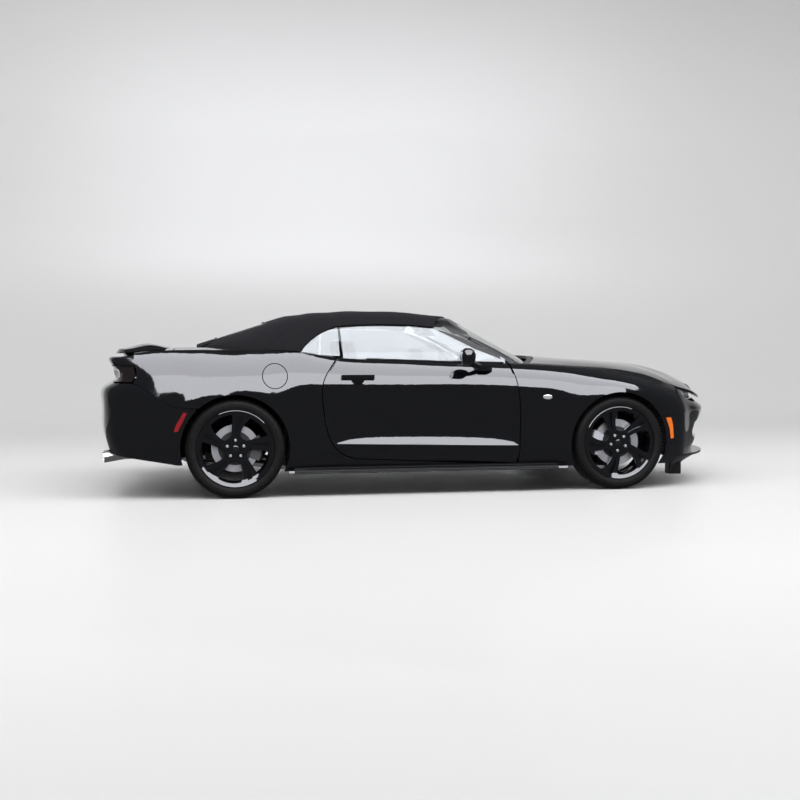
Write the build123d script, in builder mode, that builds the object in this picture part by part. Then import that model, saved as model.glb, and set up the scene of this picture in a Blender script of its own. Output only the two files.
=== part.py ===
"""Two-door muscle car with a fabric folding roof, as separate panels, glass, running gear and cabin pieces.

Millimetres. +X is the car's nose, +Y its left side and +Z up. The origin is on the ground, midway
along the car.
"""

from build123d import *
from math import asin, cos, exp, hypot, radians, sin
import os

# ---------------------------------------------------------------- driving dimensions
MID_X = 47.0  # middle of the car's length, from the datum that the axles are set out from
FRONT_AXLE_X = 1440.0
REAR_AXLE_X = -1371.0  # wheelbase 2811
HALF_TRACK = 800.0
TYRE_RADIUS = 346.0
ARCH_RADIUS = 377.0
SHUT_GAP = 6.0  # between a panel that moves and what it closes on
SKIN = 24.0  # wing and quarter shells, outer sheet to inner sheet

os.makedirs("parts", exist_ok=True)


def save(part, name):
    """Export one piece, moved so that the middle of the car's length is at x = 0."""
    piece = Pos(-MID_X, 0, 0) * part
    piece.label = name
    export_step(piece, f"parts/{name}.step")


# ---------------------------------------------------------------- body form
def rail(*keys):
    """A smooth function of x through (x, value) keys, level past both ends."""
    xs = [float(k[0]) for k in keys]
    vs = [float(k[1]) for k in keys]
    last = len(keys) - 1
    slopes = [0.0]
    for i in range(1, last):
        slopes.append((vs[i + 1] - vs[i - 1]) / (xs[i + 1] - xs[i - 1]))
    slopes.append(0.0)

    def value(x):
        if x <= xs[0]:
            return vs[0]
        if x >= xs[last]:
            return vs[last]
        i = max(k for k in range(last) if xs[k] <= x)
        span = xs[i + 1] - xs[i]
        t = (x - xs[i]) / span
        rise = vs[i + 1] - vs[i]
        a = slopes[i] * span - rise
        b = rise - slopes[i + 1] * span
        return vs[i] + t * rise + t * (1 - t) * (a * (1 - t) + b * t)

    return value


# The side of the body is drawn by lines that run along the car: each has a half-width and a height.
SIDE_LINES = [
    # foot of the sill
    (
        rail((-2400, 770), (-1900, 850), (-900, 862), (900, 862), (1850, 812), (2100, 715)),
        rail((-2400, 178), (2400, 178)),
    ),
    # sill face
    (
        rail((-2400, 790), (-2200, 828), (-1900, 872), (-900, 885), (800, 885), (1440, 880),
             (1850, 846), (2100, 740)),
        rail((-2400, 240), (2400, 240)),
    ),
    # crest of the lower door line
    (
        rail((-2400, 805), (-2200, 846), (-1900, 892), (-900, 902), (-600, 910), (-200, 917),
             (400, 916), (700, 906), (950, 903), (1440, 900), (1850, 860), (2100, 757)),
        rail((-2400, 352), (-900, 372), (-300, 362), (650, 340), (900, 338), (2400, 338)),
    ),
]
UPPER_LINES = [
    # hollow above the crest
    (
        rail((-2400, 808), (-2200, 850), (-1900, 900), (-1000, 908), (-750, 905), (-300, 897),
             (400, 897), (700, 903), (950, 908), (1440, 906), (1850, 864), (2100, 762)),
        rail((-2400, 420), (-900, 402), (-300, 414), (400, 404), (650, 374), (900, 392), (2400, 412)),
    ),
    # lower flank
    (
        rail((-2400, 812), (-2200, 856), (-1900, 910), (-1371, 922), (-900, 914), (-300, 906),
             (400, 908), (900, 914), (1440, 914), (1850, 868), (2100, 768)),
        rail((-2400, 545), (2400, 545)),
    ),
    # upper flank
    (
        rail((-2400, 808), (-2200, 850), (-1900, 908), (-1371, 928), (-900, 920), (-300, 917),
             (400, 918), (900, 924), (1440, 922), (1850, 868), (2100, 766)),
        rail((-2400, 690), (1440, 690), (1850, 650), (2400, 610)),
    ),
    # shoulder
    (
        rail((-2400, 786), (-2200, 822), (-1900, 884), (-1371, 914), (-900, 916), (-300, 914),
             (400, 914), (900, 912), (1440, 896), (1850, 838), (2100, 742)),
        rail((-2400, 800), (-1900, 808), (-1371, 812), (-900, 806), (400, 802), (1000, 790),
             (1440, 775), (1850, 708), (2100, 652)),
    ),
    # above the shoulder
    (
        rail((-2400, 742), (-2200, 778), (-1900, 828), (-1371, 862), (-900, 876), (-300, 880),
             (400, 879), (900, 868), (1440, 832), (1850, 786), (2100, 716)),
        rail((-2400, 905), (-1900, 922), (-1371, 930), (-900, 905), (-300, 882), (400, 876),
             (1000, 862), (1440, 838), (1850, 754), (2100, 690)),
    ),
]
BELT_Y = rail((-2400, 672), (-2200, 706), (-1815, 742), (-1371, 764), (-937, 786), (-622, 800), (-196, 806),
              (305, 802), (690, 786), (877, 770), (1327, 752), (1694, 735), (1955, 716), (2100, 670),
              (2400, 430))
BELT_Z = rail((-2400, 985), (-2200, 1004), (-1815, 1030), (-1371, 1030), (-937, 1016), (-622, 975),
              (-196, 955), (305, 942), (690, 934), (877, 930), (1327, 901), (1510, 883), (1694, 849),
              (1833, 804), (1955, 752), (2100, 722), (2400, 640))
CREST_LINES = [
    # outer hood and rear deck
    (
        rail((-2400, 500), (-1371, 600), (900, 590), (1700, 560), (1955, 520), (2180, 400), (2400, 300)),
        rail((-2400, 985), (-2200, 1010), (-1815, 1040), (-1371, 1046), (-900, 1030), (-600, 1000),
             (0, 970), (700, 956), (922, 955), (1377, 930), (1563, 910), (1751, 880), (1955, 822),
             (2070, 785), (2180, 762), (2400, 650)),
    ),
    # edge of the hood bulge
    (
        rail((-2400, 300), (-1371, 330), (900, 330), (1700, 300), (2180, 210), (2400, 150)),
        rail((-2400, 990), (-2200, 1014), (-1815, 1046), (-1371, 1054), (-900, 1042), (0, 985), (700, 984),
             (930, 980), (1312, 955), (1644, 930), (1811, 906), (1940, 876), (2070, 840), (2180, 805),
             (2400, 690)),
    ),
]
CROWN_Z = rail((-2400, 993), (-2200, 1016), (-1815, 1048), (-1371, 1058), (-900, 1048), (0, 1000),
               (700, 996), (930, 990), (1150, 972), (1312, 964), (1477, 955), (1644, 940), (1811, 930),
               (1982, 905), (2117, 866), (2254, 815), (2400, 750))
FLARE_HEIGHT = 22.0
FLARE_SPREAD = 125.0
STATIONS = [-2400, -2270, -2120, -1960, -1800, -1660, -1520, -1371, -1220, -1080, -940, -780, -600,
            -350, 0, 350]
STATIONS += [600, 780, 940, 1080, 1200, 1320, 1440, 1560, 1680, 1800, 1920, 2050]
CREST_STATIONS = [-2400, -2200, -2000, -1800, -1600, -1371, -1100, -900, 0, 700, 850, 1000, 1200, 1400,
                  1600, 1750]
CREST_STATIONS += [1900, 2030, 2150, 2260, 2330, 2400]


def flare(x, z):
    """How far the wings and quarters swell out round the wheels."""
    swell = 0.0
    for axle in (FRONT_AXLE_X, REAR_AXLE_X):
        reach = max(0.0, hypot(x - axle, z - TYRE_RADIUS) - ARCH_RADIUS - 20)
        swell += FLARE_HEIGHT * exp(-((reach / FLARE_SPREAD) ** 2))
    return swell


def flank_point(line, x, inset=0.0):
    width, height = line[0](x), line[1](x)
    return (width + flare(x, height) - inset, height)


def flank_y(x, z):
    """Half-width of the body side at a height, between the lines that draw it."""
    points = [flank_point(line, x) for line in SIDE_LINES + UPPER_LINES] + [(BELT_Y(x), BELT_Z(x))]
    return rail(*[(p[1], p[0]) for p in points])(z)


def side_blank(side_inset=0.0, top_inset=0.0, floor=178.0):
    """The left half of the body below the glass as one solid, its side and top moved in by the insets."""
    with BuildPart() as blank:
        for x in STATIONS:
            with BuildSketch(Plane.YZ.offset(x)):
                lower = [flank_point(line, x, side_inset) for line in SIDE_LINES]
                upper = [flank_point(line, x, side_inset) for line in UPPER_LINES]
                belt = (BELT_Y(x) - side_inset, BELT_Z(x) - top_inset)
                slope = (CREST_LINES[0][1](x) - BELT_Z(x)) / (BELT_Y(x) - CREST_LINES[0][0](x))
                reach = 84 if side_inset else 80
                edge = (BELT_Y(x) - reach, belt[1] + reach * slope + 1)
                with BuildLine():
                    Spline(*lower)
                    Spline(lower[-1], *upper, belt)
                    Polyline(belt, edge, (edge[0], floor), lower[0])
                make_face()
        loft()
    return blank.part


def crest_blank(drop=0.0):
    """The hood and rear deck over the whole width as one solid, its top let down by the drop."""
    with BuildPart() as blank:
        for x in CREST_STATIONS:
            half = [(line[0](x), line[1](x) - drop) for line in CREST_LINES]
            half.insert(0, (BELT_Y(x) + 1, BELT_Z(x) - drop - 0.5))
            with BuildSketch(Plane.YZ.offset(x)):
                with BuildLine():
                    Spline(*half, (0, CROWN_Z(x) - drop), *[(-y, z) for y, z in reversed(half)])
                    Polyline((-half[0][0], half[0][1]), (-half[0][0], 300), (half[0][0], 300), half[0])
                make_face()
        loft()
    return blank.part


def stepped_in(points, inset):
    """Move an open plan outline toward the middle of the car, square to itself."""
    moved = []
    for i, (x, y) in enumerate(points):
        before, after = points[max(i - 1, 0)], points[min(i + 1, len(points) - 1)]
        along = Vector(after[0] - before[0], after[1] - before[1]).normalized()
        if y == 0:
            along = Vector(0, -1)
        side = 1 if points[-1][0] > points[0][0] else -1
        moved.append((x + side * along.Y * inset, y - side * along.X * inset))
    return moved


def end_blank(levels, inset=0.0):
    """A bumper form lofted upward through plan outlines, each from the flank to the middle of the car."""
    if inset:
        levels = [(levels[0][0] - 9, levels[0][1]), *levels[1:-1], (levels[-1][0] + 9, levels[-1][1])]
    with BuildPart() as blank:
        for z, outline in levels:
            half = stepped_in(outline, inset) if inset else outline
            if inset:
                half = [(half[0][0] * 0.98, half[0][1]), *half[1:]]
            with BuildSketch(Plane.XY.offset(z)):
                with BuildLine():
                    Spline(*half, *[(x, -y) for x, y in reversed(half[:-1])])
                    Line((half[0][0], -half[0][1]), half[0])
                make_face()
        loft()
    return blank.part


# ---------------------------------------------------------------- outlines
def grown(runs, gap):
    """Move a closed outline outward by a gap, corner by corner."""
    points = [p for run in runs for p in run[:-1]]
    area = sum(a[0] * b[1] - b[0] * a[1] for a, b in zip(points, points[1:] + points[:1]))
    turn = 1 if area > 0 else -1
    moved = []
    for i, p in enumerate(points):
        before, after = points[i - 1], points[(i + 1) % len(points)]
        one = Vector(p[0] - before[0], p[1] - before[1]).normalized()
        two = Vector(after[0] - p[0], after[1] - p[1]).normalized()
        normal = Vector(one.Y + two.Y, -one.X - two.X).normalized() * turn
        reach = gap / max(0.4, normal.X * one.Y * turn - normal.Y * one.X * turn)
        moved.append((p[0] + normal.X * reach, p[1] + normal.Y * reach))
    moved.append(moved[0])
    result, start = [], 0
    for run in runs:
        result.append(moved[start:start + len(run)])
        start += len(run) - 1
    return result


def prism(plane, runs, amount):
    """A closed outline made of straight and curved runs, carried along the plane's normal."""
    with BuildPart() as solid:
        with BuildSketch(plane):
            with BuildLine():
                for run in runs:
                    if len(run) == 2:
                        Line(*run)
                    else:
                        Spline(*run)
            make_face()
        extrude(amount=amount)
    return solid.part


def side_prism(runs, near=300.0, far=1100.0):
    return prism(Plane.XZ.offset(-near), runs, near - far)


def plan_prism(runs, low=100.0, high=1500.0):
    return prism(Plane.XY.offset(low), runs, high - low)


def straight(*points):
    """A closed outline with straight sides."""
    return [[a, b] for a, b in zip(points, points[1:] + points[:1])]


def block(x, y, z):
    """A plain box between three pairs of limits."""
    with BuildPart() as solid:
        with Locations(((x[0] + x[1]) / 2, (y[0] + y[1]) / 2, (z[0] + z[1]) / 2)):
            Box(x[1] - x[0], y[1] - y[0], z[1] - z[0])
    return solid.part


def rod(start, end, radius):
    """A round bar from one point to another."""
    start, end = Vector(start), Vector(end)
    with BuildPart() as bar:
        with BuildSketch(Plane(origin=start, z_dir=end - start)):
            Circle(radius)
        extrude(amount=(end - start).length)
    return bar.part


def other_side(part):
    return mirror(part, about=Plane.XZ)


DOOR_OUTLINE = [
    [(608, 1010), (618, 930), (644, 815), (667, 670), (676, 452), (672, 300), (664, 203)],
    [(664, 203), (-480, 262)],
    [(-480, 262), (-600, 290), (-678, 352), (-735, 500), (-762, 690), (-752, 810), (-700, 905),
     (-622, 1010)],
    [(-622, 1010), (608, 1010)],
]

# lamps let into the bumpers' sides
FRONT_MARKER = straight((1811, 528), (1856, 528), (1872, 480), (1886, 374), (1858, 368), (1846, 440))
REAR_MARKER = straight((-1722, 604), (-1697, 600), (-1762, 472), (-1790, 470), (-1772, 520))

outer_side = side_blank()
inner_side = side_blank(SKIN, SKIN, floor=50)
crest = crest_blank()
crest_under = crest_blank(20)
under_lid = crest_blank(27)

# ---------------------------------------------------------------- doors
DOOR_INNER_Y = 782.0
DOOR_FLANGE = 9.0  # how far the inner door stands back from the outer panel's edge
with BuildPart() as door_left:
    add(side_prism(DOOR_OUTLINE, 886, 1000))
    add(side_prism(grown(DOOR_OUTLINE, -DOOR_FLANGE), DOOR_INNER_Y, 886))
    add(outer_side, mode=Mode.INTERSECT)
    # slot that the glass drops into
    with BuildSketch(Plane.XY.offset(905)):
        Polygon((-618, 775), (-618, 794), (0, 799), (500, 792), (612, 786), (612, 766), (500, 774),
                (0, 781), align=None)
    extrude(amount=200, mode=Mode.SUBTRACT)
    # recess in the trim
    with BuildSketch(Plane.XZ.offset(-DOOR_INNER_Y)):
        with Locations((-60, 640)):
            RectangleRounded(900, 230, 60)
    extrude(amount=-22, mode=Mode.SUBTRACT)
    # hollow behind the pull handle, and the handle across it
    with Locations((-515, 925, 838)):
        Cylinder(52, 50, rotation=(90, 0, 0), mode=Mode.SUBTRACT)
    with Locations((-515, 921, 841)):
        Box(235, 12, 32)
    with Locations((-612, 908, 841), (-418, 908, 841)):
        Box(34, 24, 28)
save(door_left.part, "door_left")
save(other_side(door_left.part), "door_right")

# ---------------------------------------------------------------- form of the tail
REAR_LEVELS = [
    # height, then the outline from behind the wheel round to the middle of the tail
    (215, [(-2110, 815), (-2158, 728), (-2188, 610), (-2216, 400), (-2228, 180), (-2232, 0)]),
    (360, [(-2165, 838), (-2228, 752), (-2252, 640), (-2280, 400), (-2294, 180), (-2298, 0)]),
    (440, [(-2186, 846), (-2246, 762), (-2272, 650), (-2304, 400), (-2320, 180), (-2325, 0)]),
    (520, [(-2194, 848), (-2255, 765), (-2280, 650), (-2314, 400), (-2331, 180), (-2336, 0)]),
    (640, [(-2195, 846), (-2255, 765), (-2280, 650), (-2314, 400), (-2331, 180), (-2336, 0)]),
    (745, [(-2185, 834), (-2250, 758), (-2280, 650), (-2316, 400), (-2334, 180), (-2340, 0)]),
    (778, [(-2166, 820), (-2232, 745), (-2260, 640), (-2290, 400), (-2306, 180), (-2311, 0)]),
    (812, [(-2135, 800), (-2185, 725), (-2206, 630), (-2232, 400), (-2246, 180), (-2250, 0)]),
    (900, [(-2135, 780), (-2180, 712), (-2200, 630), (-2228, 400), (-2242, 180), (-2246, 0)]),
    (985, [(-2140, 716), (-2186, 680), (-2209, 620), (-2237, 400), (-2251, 180), (-2255, 0)]),
    (1080, [(-2140, 708), (-2188, 672), (-2212, 615), (-2240, 400), (-2256, 180), (-2260, 0)]),
]


def joined_to_flank(levels, stations):
    """Start each outline on the body side, so that bumper and panel meet at one surface."""
    return [(z, [(x, flank_y(x, min(max(z, 182), 990))) for x in stations] + outline) for z,
            outline in levels]


REAR_LEVELS = joined_to_flank(REAR_LEVELS, (-1640, -1780, -1920, -2040))
rear_outer = end_blank(REAR_LEVELS)
rear_inner = end_blank(REAR_LEVELS, 20)

# what lies behind the tail, so that the quarter panels end on its surface
with BuildPart() as behind:
    add(block((-2500, -2060), (560, 1100), (870, 1200)))
    add(rear_outer, mode=Mode.SUBTRACT)
behind_tail = behind.part

# ---------------------------------------------------------------- side panels
ARCH_FRONT = rod((FRONT_AXLE_X, 500, TYRE_RADIUS), (FRONT_AXLE_X, 1100, TYRE_RADIUS), ARCH_RADIUS)
ARCH_REAR = rod((REAR_AXLE_X, 500, TYRE_RADIUS), (REAR_AXLE_X, 1100, TYRE_RADIUS), ARCH_RADIUS)
with BuildPart() as fender_left:
    add(outer_side)
    add(inner_side, mode=Mode.SUBTRACT)
    add(
        side_prism(
            [
                [(560, 1000), (1958, 1000)],
                [(1958, 1000), (1956, 780)],
                [(1956, 780), (1935, 640), (1893, 570), (1800, 545), (1700, 545)],
                [(1700, 545), (1500, 100)],
                [(1500, 100), (560, 100)],
                [(560, 100), (560, 1000)],
            ]
        ),
        mode=Mode.INTERSECT,
    )
    add(side_prism(grown(DOOR_OUTLINE, SHUT_GAP + 1)), mode=Mode.SUBTRACT)
    add(side_prism(straight((500, 100), (1110, 100), (1110, 230), (668, 230), (500, 230))),
        mode=Mode.SUBTRACT)
    add(ARCH_FRONT, mode=Mode.SUBTRACT)
    with BuildSketch(Plane.XY.offset(600)):
        with BuildLine():
            Spline((1965, 709), (1694, 727), (1327, 744), (877, 762), (700, 775))
            Polyline((700, 775), (500, 780), (500, 600), (1965, 600), (1965, 709))
        make_face()
    extrude(amount=500, mode=Mode.SUBTRACT)
save(fender_left.part, "fender_left")
save(other_side(fender_left.part), "fender_right")

FUEL_FLAP_AT = (-1096, 850)
FUEL_FLAP_RADIUS = 84.0
with BuildPart() as bodyside_left:
    add(outer_side)
    add(inner_side, mode=Mode.SUBTRACT)
    add(
        side_prism(
            [
                [(-2215, 1100), (-2215, 925)],
                [(-2215, 925), (-2050, 925)],
                [(-2050, 925), (-2038, 860), (-2062, 804)],
                [(-2062, 804), (-1930, 730), (-1794, 647), (-1725, 634)],
                [(-1725, 634), (-1600, 630)],
                [(-1600, 630), (-1371, 100)],
                [(-1371, 100), (1110, 100)],
                [(1110, 100), (1110, 228)],
                [(1110, 228), (660, 228)],
                [(660, 228), (300, 1100)],
                [(300, 1100), (-2215, 1100)],
            ]
        ),
        mode=Mode.INTERSECT,
    )
    add(side_prism(grown(DOOR_OUTLINE, SHUT_GAP + 1)), mode=Mode.SUBTRACT)
    add(ARCH_REAR, mode=Mode.SUBTRACT)
    add(ARCH_FRONT, mode=Mode.SUBTRACT)
    add(behind_tail, mode=Mode.SUBTRACT)
    with BuildSketch(Plane.XY.offset(600)):
        with BuildLine():
            Spline((-2230, 695), (-1815, 734), (-1371, 756), (-937, 778), (-700, 789))
            Polyline((-700, 789), (-500, 789), (-500, 500), (-2230, 500), (-2230, 695))
        make_face()
    extrude(amount=500, mode=Mode.SUBTRACT)
    with Locations((FUEL_FLAP_AT[0], 900, FUEL_FLAP_AT[1])):
        Cylinder(FUEL_FLAP_RADIUS + SHUT_GAP, 160, rotation=(90, 0, 0), mode=Mode.SUBTRACT)
    # blade along the foot of the sill
    with BuildSketch(Plane.YZ.offset(-1002)):
        Polygon((848, 178), (860, 158), (905, 160), (922, 169), (918, 184), (886, 195), (862, 195),
                align=None)
    extrude(amount=2040)
save(bodyside_left.part, "bodyside_left")
save(other_side(bodyside_left.part), "bodyside_right")

with BuildPart() as fuel_flap:
    add(outer_side)
    add(side_blank(8, 8, floor=50), mode=Mode.SUBTRACT)
    with Locations((FUEL_FLAP_AT[0], 900, FUEL_FLAP_AT[1])):
        Cylinder(FUEL_FLAP_RADIUS, 160, rotation=(90, 0, 0), mode=Mode.INTERSECT)
save(other_side(fuel_flap.part), "fuel_flap")

# ---------------------------------------------------------------- hood, tonneau and decklid
with BuildPart() as hood:
    add(crest)
    add(crest_under, mode=Mode.SUBTRACT)
    with BuildSketch(Plane.XY.offset(600)):
        with BuildLine():
            edge = [(785, 753), (877, 756), (1327, 738), (1694, 721), (1900, 706), (1972, 696)]
            lip = [(1972, 696), (2075, 655), (2180, 590), (2300, 410), (2362, 210), (2385, 0)]
            back = [(985, 0), (965, 230), (915, 450), (850, 620), (785, 753)]
            Spline(*edge)
            Spline(*lip)
            Spline(*[(x, -y) for x, y in reversed(lip)])
            Spline(*[(x, -y) for x, y in reversed(edge)])
            Spline(*[(x, -y) for x, y in reversed(back)])
            Spline(*back)
        make_face()
    extrude(amount=500, mode=Mode.INTERSECT)
save(hood.part, "hood")

with BuildPart() as valance:
    # middle of the tail, drawn down between the exhaust tips
    add(block((-2400, -2100), (-448, 448), (256, 356)))
    add(rear_outer, mode=Mode.INTERSECT)
    add(rear_inner, mode=Mode.SUBTRACT)
with BuildPart() as rear_bumper:
    half = [[(-1600, 626), (-1725, 632)], [(-1725, 632), (-1794, 645), (-1930, 728), (-2064, 800)],
            [(-2064, 800), (-2400, 800)], [(-2400, 800), (-2400, 352)], [(-2400, 352), (-2228, 348)],
            [(-2228, 348), (-2180, 304)], [(-2180, 304), (-1758, 234)], [(-1758, 234), (-1600, 248)],
            [(-1600, 248), (-1600, 626)]]
    add(side_prism(half, -1100, 1100))
    add(rear_outer, mode=Mode.INTERSECT)
    add(rear_inner, mode=Mode.SUBTRACT)
    add(valance.part)
    for arch in (ARCH_REAR, other_side(ARCH_REAR)):
        add(arch, mode=Mode.SUBTRACT)
    add(side_prism(REAR_MARKER, -1000, -780), mode=Mode.SUBTRACT)
    add(side_prism(REAR_MARKER, 780, 1000), mode=Mode.SUBTRACT)
    # flat place for the number plate
    add(block((-2400, -2326), (-165, 165), (430, 600)), mode=Mode.SUBTRACT)
save(rear_bumper.part, "rear_bumper")

with BuildPart() as boot_space:
    # inside of the lid: the tail's plan moved in by the sheet, under a straight soffit
    with BuildSketch(Plane.XY.offset(700)):
        with BuildLine():
            tail = [(-2113, 780), (-2158, 712), (-2178, 630), (-2206, 400), (-2220, 180), (-2224, 0)]
            Spline(*tail, *[(x, -y) for x, y in reversed(tail[:-1])])
            Polyline((-2113, -780), (-1600, -780), (-1600, 780), (-2113, 780))
        make_face()
    extrude(amount=330)
    soffit = straight((-1600, 1009), (-1600, 1100), (-2400, 1100), (-2400, 966), (-2200, 982),
                      (-1950, 1000), (-1815, 1008))
    add(side_prism(soffit, -900, 900), mode=Mode.SUBTRACT)
with BuildPart() as decklid:
    with BuildSketch(Plane.XY.offset(808)):
        with BuildLine():
            edge = [(-1796, 728), (-1950, 716), (-2100, 702), (-2230, 688)]
            Spline(*edge)
            Polyline(edge[-1], (-2400, 688), (-2400, -688), (edge[-1][0], -688))
            Spline(*[(x, -y) for x, y in reversed(edge)])
            Polyline((edge[0][0], -728), edge[0])
        make_face()
    extrude(amount=400)
    # room for the lamps, which stay on the body
    add(block((-2500, -2100), (443, 900), (700, 925)), mode=Mode.SUBTRACT)
    add(block((-2500, -2100), (-900, -443), (700, 925)), mode=Mode.SUBTRACT)
    add(crest, mode=Mode.INTERSECT)
    add(rear_outer, mode=Mode.INTERSECT)
    add(boot_space.part, mode=Mode.SUBTRACT)
save(decklid.part, "decklid")

SPOILER = [
    # station across the car, the section over the top from its front edge to the trailing edge as (x, z),
    # then the back and front of the foot and its height
    (0, [(-1868, 1052), (-1920, 1068), (-1985, 1080), (-2090, 1063), (-2196, 1040)], -2236, -1940, 980),
    (420, [(-1860, 1050), (-1915, 1067), (-1980, 1080), (-2080, 1063), (-2186, 1040)], -2224, -1930, 980),
    (640, [(-1842, 1046), (-1900, 1061), (-1965, 1074), (-2055, 1059), (-2160, 1038)], -2196, -1915, 980),
    (725, [(-1834, 1044), (-1880, 1056), (-1940, 1066), (-2020, 1055), (-2116, 1037)], -2150, -1900, 985),
]
with BuildPart() as spoiler:
    stations = [(-s[0], *s[1:]) for s in reversed(SPOILER)] + SPOILER[1:]
    for y, section, back, front, foot in stations:
        with BuildSketch(Plane.XZ.offset(-y)):
            with BuildLine():
                Spline(*section)
                Polyline(section[-1], (back, foot), (front, foot), section[0])
            make_face()
    loft()
    add(crest, mode=Mode.SUBTRACT)
    # the ends pass over the quarter panels without touching them
    for side in (-1, 1):
        near, far = sorted((side * 686, side * 900))
        under = straight((-1760, 1039), (-1815, 1037), (-2000, 1027), (-2260, 1007), (-2260, 900),
                         (-1760, 900))
        add(side_prism(under, near, far), mode=Mode.SUBTRACT)
save(spoiler.part, "spoiler")

ROOF_FOOT = [(-902, 770), (-1000, 752), (-1276, 700), (-1480, 590), (-1600, 410), (-1650, 200), (-1662, 0)]
with BuildPart() as tonneau_panel:
    add(crest)
    add(crest_under, mode=Mode.SUBTRACT)
    with BuildSketch(Plane.XY.offset(700)):
        with BuildLine():
            edge = [(-920, 776), (-1371, 754), (-1788, 734)]
            foot = [(x - 6, y + 3) for x, y in ROOF_FOOT]
            Spline(*edge)
            Line(edge[-1], (edge[-1][0], -edge[-1][1]))
            Spline(*[(x, -y) for x, y in reversed(edge)])
            Line((edge[0][0], -edge[0][1]), (foot[0][0], -foot[0][1]))
            Spline(*[(x, -y) for x, y in foot[:-1]], *reversed(foot))
            Line(foot[0], edge[0])
        make_face()
    extrude(amount=500, mode=Mode.INTERSECT)
save(tonneau_panel.part, "tonneau_panel")

# ---------------------------------------------------------------- front bumper
FRONT_LEVELS = [
    # height, then the outline from the wing seam round to the middle of the nose
    (178, [(1960, 770), (2020, 712), (2120, 560), (2240, 330), (2310, 0)]),
    (240, [(1975, 800), (2035, 738), (2150, 580), (2286, 340), (2362, 0)]),
    (300, [(1980, 812), (2042, 745), (2160, 590), (2296, 345), (2376, 0)]),
    (370, [(1983, 818), (2050, 745), (2170, 600), (2312, 350), (2392, 0)]),
    (520, [(1985, 820), (2062, 735), (2196, 600), (2346, 350), (2426, 0)]),
    (588, [(1985, 816), (2064, 732), (2202, 600), (2354, 350), (2434, 0)]),
    (625, [(1980, 808), (2050, 735), (2172, 600), (2312, 350), (2392, 0)]),
    (665, [(1972, 795), (2030, 735), (2130, 600), (2262, 350), (2340, 0)]),
]
FRONT_LEVELS = joined_to_flank(FRONT_LEVELS, (1620, 1720, 1820, 1910))
for z, tuck in ((722, 0), (780, 16)):
    top = [(1620, 915), (1720, 890), (1820, 852), (1910, 800), (1965, 758), (2010, 712), (2112, 590),
           (2240, 350)]
    FRONT_LEVELS.append((z, [(x - tuck, y - tuck) for x, y in top] + [(2318 - tuck, 0)]))
front_outer = end_blank(FRONT_LEVELS)
front_inner = end_blank(FRONT_LEVELS, 20)
MOUTH = [(0, 350), (300, 350), (560, 352), (640, 380), (600, 470), (440, 520), (0, 528)]
SLOT = [(0, 655), (520, 655), (700, 658), (736, 676), (736, 760), (0, 760)]


def both_sides(half):
    """A closed outline on a plane across the car, from its left half."""
    return half + [(-y, z) for y, z in reversed(half) if y]


with BuildPart() as front_bumper:
    add(
        side_prism(
            [[(1695, 543), (1800, 543), (1894, 568), (1938, 640), (1959, 732)], [(1959, 732), (2500, 732)],
             [(2500, 732), (2500, 242)], [(2500, 242), (1930, 242)], [(1930, 242), (1905, 180)],
             [(1905, 180), (1600, 180)], [(1600, 180), (1695, 543)]],
            -1100, 1100,
        )
    )
    add(front_outer, mode=Mode.INTERSECT)
    add(front_inner, mode=Mode.SUBTRACT)
    for arch in (ARCH_FRONT, other_side(ARCH_FRONT)):
        add(arch, mode=Mode.SUBTRACT)
    # lower mouth, and the slot above the nose bar with the lamps at its ends
    with BuildSketch(Plane.YZ.offset(1980)):
        Polygon(*both_sides(MOUTH), align=None)
        fillet([v for v in vertices() if abs(v.X) > 400], 18)
        Polygon(*both_sides(SLOT), align=None)
    extrude(amount=600, mode=Mode.SUBTRACT)
    add(side_prism(FRONT_MARKER, -1000, -780), mode=Mode.SUBTRACT)
    add(side_prism(FRONT_MARKER, 780, 1000), mode=Mode.SUBTRACT)
save(front_bumper.part, "front_bumper")

with BuildPart() as grille:
    # panels behind both openings, pierced by rows of windows, on a beam between them
    with BuildSketch(Plane.YZ.offset(2180)):
        Polygon(*both_sides([(0, 352), (300, 352), (520, 356), (545, 380), (520, 470), (430, 515),
                             (0, 523)]), align=None)
        with Locations((0, 436)):
            with GridLocations(92, 44, 10, 3):
                Rectangle(76, 32, mode=Mode.SUBTRACT)
    extrude(amount=14)
    with BuildSketch(Plane.YZ.offset(2180)):
        Polygon(*both_sides([(0, 640), (380, 640), (390, 690), (372, 716), (0, 722)]), align=None)
        with Locations((0, 682)):
            with GridLocations(92, 32, 8, 2):
                Rectangle(76, 22, mode=Mode.SUBTRACT)
    extrude(amount=14)
    add(block((2168, 2194), (-470, 470), (510, 650)))
save(grille.part, "grille")

with BuildPart() as headlamps:
    with BuildSketch(Plane.YZ.offset(1966)):
        with BuildLine():
            Spline((452, 662), (600, 663), (690, 668), (726, 694), (690, 722), (600, 727), (452, 727))
            Line((452, 727), (452, 662))
        make_face()
    extrude(amount=400)
    add(end_blank(FRONT_LEVELS, 8), mode=Mode.INTERSECT)
    add(end_blank(FRONT_LEVELS, 75), mode=Mode.SUBTRACT)
    add(under_lid, mode=Mode.INTERSECT)
lamp = headlamps.part
with BuildPart() as headlamp_pair:
    add(lamp)
    add(other_side(lamp))
save(headlamp_pair.part, "headlamps")

CHIN = [
    # height, then the outline from behind the corner round to the middle
    (228, [(1925, 822), (1990, 786), (2052, 738), (2188, 600), (2340, 350), (2406, 0)]),
    (150, [(1925, 775), (1962, 738), (2006, 690), (2080, 560), (2190, 350), (2236, 0)]),
]


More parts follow.
